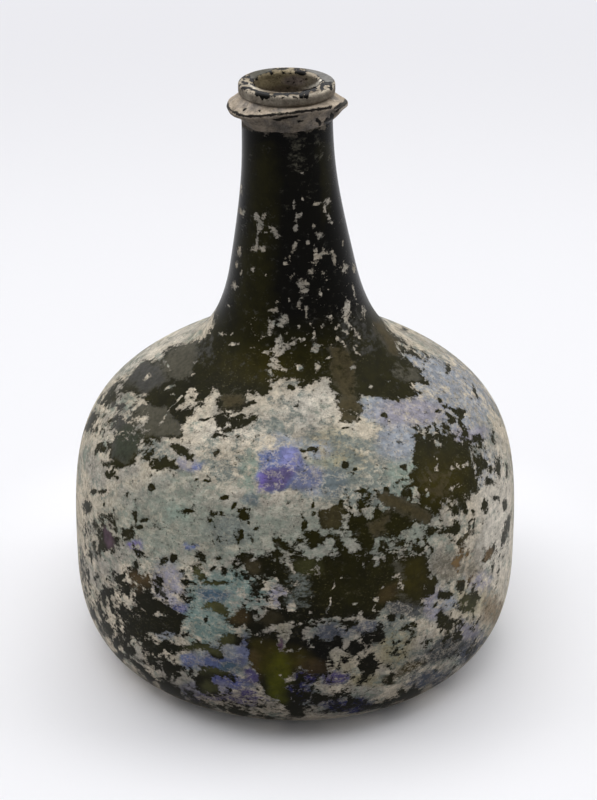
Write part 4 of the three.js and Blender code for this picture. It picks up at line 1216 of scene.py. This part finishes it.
def finished_vessel():
    skin = make_vessel()
    coat_vessel(skin)
    wall = Painter(skin, skin.zone == OUTSIDE_ZONE)
    paint_body_crust(skin, wall)
    paint_body_colours(skin, wall)
    paint_lip(skin)
    paint_collar(skin)
    return skin


def finished_rim():
    skin = make_rim()
    coat_rim(skin)
    paint_rim(skin)
    return skin


def finished_scar():
    skin = make_scar()
    coat_scar(skin)
    return skin


# The Mix node's inputs, which are its factor and the two that it mixes, and its output, for each kind
MIX_SOCKETS = {"RGBA": ((0, 6, 7), 2), "FLOAT": ((0, 2, 3), 0)}


class Tree:
    """A short way to write the nodes of a material or a world."""

    def __init__(self, owner):
        self.owner = owner
        owner.use_nodes = True
        self.nodes, self.links = owner.node_tree.nodes, owner.node_tree.links
        self.nodes.clear()
        self.places = {}

    def node(self, kind, **settings):
        made = self.nodes.new(kind)
        for key, value in settings.items():
            setattr(made, key, value)
        return made

    def join(self, value, socket):
        """Links an output to a socket, or sets the socket to a constant."""
        if isinstance(value, bpy.types.NodeSocket):
            self.links.new(value, socket)
        else:
            socket.default_value = value

    def fed(self, kind, *values, **settings):
        """A node whose first inputs are given in order."""
        made = self.node(kind, **settings)
        for value, socket in zip(values, made.inputs):
            self.join(value, socket)
        return made

    def math(self, operation, *values):
        return self.fed("ShaderNodeMath", *values, operation=operation).outputs[0]

    def product(self, *factors):
        """The product of some numbers."""
        result = factors[0]
        for factor in factors[1:]:
            result = self.math("MULTIPLY", result, factor)
        return result

    def ramp(self, value, low, high, to_low=0.0, to_high=1.0, kind="SMOOTHSTEP"):
        """Maps low..high to to_low..to_high."""
        settings = {"clamp": True, "interpolation_type": kind}
        return self.fed("ShaderNodeMapRange", value, low, high, to_low, to_high, **settings).outputs[0]

    def mix(self, factor, a, b, kind="RGBA"):
        """A colour, or a number, between two others."""
        inputs, output = MIX_SOCKETS[kind]
        made = self.node("ShaderNodeMix", data_type=kind)
        for value, number in zip((factor, a, b), inputs):
            self.join(value, made.inputs[number])
        return made.outputs[output]

    def shade(self, base, amount):
        """A colour times a number."""
        made = self.node("ShaderNodeVectorMath", operation="SCALE")
        self.join(base, made.inputs[0])
        self.join(amount, made.inputs["Scale"])
        return made.outputs[0]

    def attribute(self, name, output="Fac"):
        return self.node("ShaderNodeAttribute", attribute_name=name).outputs[output]

    def noise(self, where, scale, detail, rough):
        made = self.node("ShaderNodeTexNoise", noise_dimensions="3D")
        settings = {"Vector": where, "Scale": scale, "Detail": detail, "Roughness": rough, "Distortion": 0}
        for name, value in settings.items():
            self.join(value, made.inputs[name])
        return made.outputs["Fac"]

    def uneven(self, where, scale, detail, rough, reach, shares=(0.0, 1.0)):
        """Noise, with the reach of its values that counts mapped to shares."""
        return self.ramp(self.noise(where, scale, detail, rough), *reach, *shares)

    def place(self, stretch=(1, 1, 1)):
        """The piece's own coordinates, in metres, stretched."""
        if stretch not in self.places:
            own = self.node("ShaderNodeTexCoord").outputs["Object"]
            made = self.fed("ShaderNodeVectorMath", own, stretch, operation="MULTIPLY")
            self.places[stretch] = made.outputs[0]
        return self.places[stretch]

    def finish(self, shader, kind="ShaderNodeOutputMaterial"):
        """Links the shader to the tree's output and gives back what the tree belongs to."""
        self.join(shader, self.node(kind).inputs["Surface"])
        return self.owner


# How the noise is squeezed along the height: for flakes and for the crust's level fibres
FLAKES, FIBRE_STRETCH = (1, 1, 1.55), (1, 1, 7)

# The layers' ragged edges: cells of the limit's noise per metre, and how far under and over it they fade
CRUST_LIMIT = (640, -0.02, 0.04)
STAIN_LIMIT = (300, -0.20, 0.22)
FILM_LIMIT = (300, -0.24, 0.30)
LIMIT_DETAIL, LIMIT_ROUGHNESS, LIMIT_REACH = 9, 0.78, (0.35, 0.65)

# Unevenness: cells of noise per metre, its detail and roughness, the reach of its values that counts,
# and the shares of a colour that the ends of this reach leave
MOTTLE = (380, 6, 0.75, (0.33, 0.67), (0.72, 1.20))
GRAIN = (1900, 3, 0.6, (0.3, 0.7), (0.84, 1.14))
FIBRES = (170, 5, 0.65, (0.3, 0.7), (0.88, 1.10))
BLOTCHES = (90, 4, 0.55, (0.35, 0.65), (0.9, 1.06))
PITS = (1250, 3, 0.6, (0.59, 0.68), (1.0, 0.55))
FILM_TONE = (700, 4, 0.6, (0.3, 0.7), (0.75, 1.2))
GLASS_TONE = (260, 6, 0.7, (0.3, 0.7), (0.7, 1.35))
DUST_SPECKS = (1250, 3, 0.6, (0.60, 0.66))
DUST_PATCHES = (70, 3, 0.55, (0.42, 0.6))

# Veins without a stain run where a noise is at its middle: the noise, its middle, how wide they are in
# it, and how much of the stain they keep off
VEINS, NOISE_MIDDLE, VEIN_WIDTH, VEIN_SHARE = (210, 6, 0.7), 0.5, 0.035, 0.55

# The crust is this share of its colour where it is thinnest, and whole from this much above its limit
THIN_SHARE, THICK_FROM = 0.78, 0.35

# How much of the film and of the dust shows
FILM_SHOWS, DUST_SHOWS = 0.8, 0.5

# The relief: its strength and its depth in metres, and what mottle, grain, film and stain add to it
RELIEF_STRENGTH, RELIEF_DEPTH = 0.75, 0.00035
MOTTLE_RELIEF, GRAIN_RELIEF, FILM_RELIEF, STAIN_RELIEF = 0.5, 0.35, 0.12, -0.2

# Roughness: what the film adds to the glass's, and the crust's over a reach of the grain
FILM_ROUGHNESS, CRUST_ROUGHNESS = 0.15, (0.84, 1.12, 0.88, 0.74)
GLASS_IOR, GLASS_SPECULAR = 1.5, 0.05


def ragged_layer(t, name, scale, low, high):
    """A layer is whole where its cover, painted on the mesh, is above a ragged limit."""
    noise = t.noise(t.place(FLAKES), scale, LIMIT_DETAIL, LIMIT_ROUGHNESS)
    above = t.math("SUBTRACT", t.attribute(name), t.ramp(noise, *LIMIT_REACH, kind="LINEAR"))
    return above, t.ramp(above, low, high)


def crust_colour(t, above, stain, soft_tone, grain):
    """The crust's colour, stained in places but not along thin veins, and darker where it is thin."""
    top = t.shade(t.attribute("crust_tint", "Color"), t.product(soft_tone, grain))
    stained = t.shade(t.attribute("stain_tint", "Color"), soft_tone)
    from_vein = t.math("ABSOLUTE", t.math("SUBTRACT", t.noise(t.place(FLAKES), *VEINS), NOISE_MIDDLE))
    off_veins = t.math("SUBTRACT", 1.0, t.ramp(from_vein, 0, VEIN_WIDTH, VEIN_SHARE, 0))
    mixed = t.mix(t.product(stain, off_veins), top, stained)
    return t.shade(mixed, t.ramp(above, 0, THICK_FROM, THIN_SHARE, 1))


def glass_colour(t, film, blotches):
    """The colour of the bare glass, of the film on it and of the dust on both."""
    film_tone = t.product(t.uneven(t.place(), *FILM_TONE), blotches)
    filmed = t.shade(t.attribute("film_tint", "Color"), film_tone)
    bare = t.shade(t.attribute("glass_tint", "Color"), t.uneven(t.place(), *GLASS_TONE))
    dust = t.product(t.uneven(t.place(FLAKES), *DUST_SPECKS), t.uneven(t.place(), *DUST_PATCHES))
    dust = t.product(dust, t.attribute("dust"), DUST_SHOWS)
    return t.mix(dust, t.mix(t.product(film, FILM_SHOWS), bare, filmed), (*DUST, 1))


def relief(t, crust, stain, film, mottle, grain):
    """The crust stands off the glass, less where it is stained, and the film a little."""
    rough = t.math("ADD", t.product(mottle, MOTTLE_RELIEF), t.product(grain, GRAIN_RELIEF))
    height = t.math("ADD", t.product(crust, rough), t.product(film, FILM_RELIEF))
    height = t.math("ADD", height, t.product(stain, crust, STAIN_RELIEF))
    bump = t.node("ShaderNodeBump")
    for name, value in (("Strength", RELIEF_STRENGTH), ("Distance", RELIEF_DEPTH), ("Height", height)):
        t.join(value, bump.inputs[name])
    return bump.outputs[0]


def weathered_glass():
    """Dark glass, a thin film over part of it and a flaking crust over part of that."""
    t = Tree(bpy.data.materials.new("weathered_glass"))
    above, crust = ragged_layer(t, "crust", *CRUST_LIMIT)
    stain = ragged_layer(t, "stain", *STAIN_LIMIT)[1]
    film = ragged_layer(t, "film", *FILM_LIMIT)[1]
    mottle, grain, blotches, pits = [t.uneven(t.place(), *kind) for kind in (MOTTLE, GRAIN, BLOTCHES, PITS)]
    fibres = t.uneven(t.place(FIBRE_STRETCH), *FIBRES)
    soft_tone = t.product(mottle, blotches, fibres, pits)
    over = crust_colour(t, above, stain, soft_tone, grain)
    bare_rough = t.math("ADD", t.attribute("gloss"), t.product(film, FILM_ROUGHNESS))
    crust_rough = t.ramp(grain, *CRUST_ROUGHNESS)
    shader = t.node("ShaderNodeBsdfPrincipled")
    settings = {
        "Base Color": t.mix(crust, glass_colour(t, film, blotches), over),
        "Roughness": t.mix(crust, bare_rough, crust_rough, kind="FLOAT"),
        "Normal": relief(t, crust, stain, film, mottle, grain),
        "IOR": GLASS_IOR,
        "Specular IOR Level": GLASS_SPECULAR,
    }
    for name, value in settings.items():
        t.join(value, shader.inputs[name])
    return t.finish(shader.outputs[0])


def place_camera():
    data = bpy.data.cameras.new("photo_camera")
    data.lens, data.sensor_width, data.sensor_fit = LENS_MM, SENSOR_MM, "AUTO"
    camera = bpy.data.objects.new("photo_camera", data)
    back = Vector((0, -math.cos(CAMERA_PITCH), math.sin(CAMERA_PITCH)))
    camera.location = CAMERA_TARGET + back * CAMERA_DISTANCE
    camera.rotation_euler = (math.pi / 2 - CAMERA_PITCH, 0, 0)
    bpy.context.scene.collection.objects.link(camera)
    bpy.context.scene.camera = camera


# The softboxes: name, place, what each is turned to, width and height in metres, and power in watts
SOFTBOXES = [
    ("overhead_softbox", (-0.08, 0.14, 1.3), (0, 0.03, 0.05), (1.8, 1.5), 16.6),
    ("left_softbox", (-1.0, 0.05, 0.92), (0, 0, 0.08), (0.7, 0.8), 3.1),
    ("right_softbox", (1.0, 0.1, 0.92), (0, 0, 0.08), (0.7, 0.8), 4.3),
]


def hang_softbox(name, at, towards, size, power):
    data = bpy.data.lights.new(name, "AREA")
    data.shape, data.size, data.size_y = "RECTANGLE", *size
    data.energy = power
    light = bpy.data.objects.new(name, data)
    light.location = at
    light.rotation_euler = (Vector(towards) - Vector(at)).to_track_quat("-Z", "Y").to_euler()
    bpy.context.scene.collection.objects.link(light)


# The pale background that the camera sees, and the white world that lights the bottle dimly
PALE_STUDIO = (0.85, 0.85, 0.89, 1)
WHITE, WORLD_STRENGTH = (1, 1, 1, 1), 0.26


def shown(t):
    """1 for what the camera sees, straight, mirrored or through glass, and 0 for light that bounces."""
    path = t.node("ShaderNodeLightPath").outputs
    mirrored = t.math("MAXIMUM", path["Is Glossy Ray"], path["Is Transmission Ray"])
    return t.math("MAXIMUM", path["Is Camera Ray"], mirrored)


def light_world():
    """A dim grey world for the object, and a pale one behind it for the camera."""
    t = Tree(bpy.data.worlds.new("studio"))
    dim = t.fed("ShaderNodeBackground", WHITE, WORLD_STRENGTH)
    pale = t.fed("ShaderNodeBackground", PALE_STUDIO, 1)
    mix = t.fed("ShaderNodeMixShader", shown(t), dim.outputs[0], pale.outputs[0])
    bpy.context.scene.world = t.finish(mix.outputs[0], "ShaderNodeOutputWorld")


# The floor: half its width, its colour round the bottle and farther out, the radii between which that
# changes, and those between which it fades into the world's pale background, all in metres
FLOOR_REACH = 4.0
# Painted light: the floor is paler round the bottle, which lifts the bottle's shadow there
FLOOR_PAINTED_LIGHT = (0.915, 0.915, 0.945, 1)
FLOOR_FAR = (0.83, 0.83, 0.86, 1)
FLOOR_PAINTED_LIGHT_RADII = (0.1, 0.16)
FLOOR_FADE = (0.3, 0.95)
FLOOR_ROUGHNESS, FLOOR_SPECULAR = 0.7, 0.1


def pale_floor():
    t = Tree(bpy.data.materials.new("pale_floor"))
    shader = t.node("ShaderNodeBsdfPrincipled")
    radius = t.fed("ShaderNodeVectorMath", t.place(), operation="LENGTH").outputs["Value"]
    # Painted light round the bottle, fading to the plain floor colour farther out
    t.join(t.mix(t.ramp(radius, *FLOOR_PAINTED_LIGHT_RADII), FLOOR_PAINTED_LIGHT, FLOOR_FAR), shader.inputs["Base Color"])
    t.join(FLOOR_ROUGHNESS, shader.inputs["Roughness"])
    t.join(FLOOR_SPECULAR, shader.inputs["Specular IOR Level"])
    far = t.product(t.ramp(radius, *FLOOR_FADE), shown(t))
    pale = t.fed("ShaderNodeEmission", PALE_STUDIO)
    blend = t.fed("ShaderNodeMixShader", far, shader.outputs[0], pale.outputs[0])
    return t.finish(blend.outputs[0])


def lay_floor():
    mesh = bpy.data.meshes.new("floor")
    corners = [(x * FLOOR_REACH, y * FLOOR_REACH, 0) for x, y in ((-1, -1), (1, -1), (1, 1), (-1, 1))]
    mesh.from_pydata(corners, [], [(0, 1, 2, 3)])
    floor = bpy.data.objects.new("floor", mesh)
    bpy.context.scene.collection.objects.link(floor)
    mesh.materials.append(pale_floor())


glass = weathered_glass()
skins = {"vessel": finished_vessel(), "string_rim": finished_rim(), "pontil_scar": finished_scar()}
for node, skin in skins.items():
    piece = skin.build()
    piece.data.materials.append(glass)
    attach(piece, "root")
    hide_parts(node)

place_camera()
for softbox in SOFTBOXES:
    hang_softbox(*softbox)
light_world()
lay_floor()
bpy.context.scene.view_settings.view_transform = "Standard"
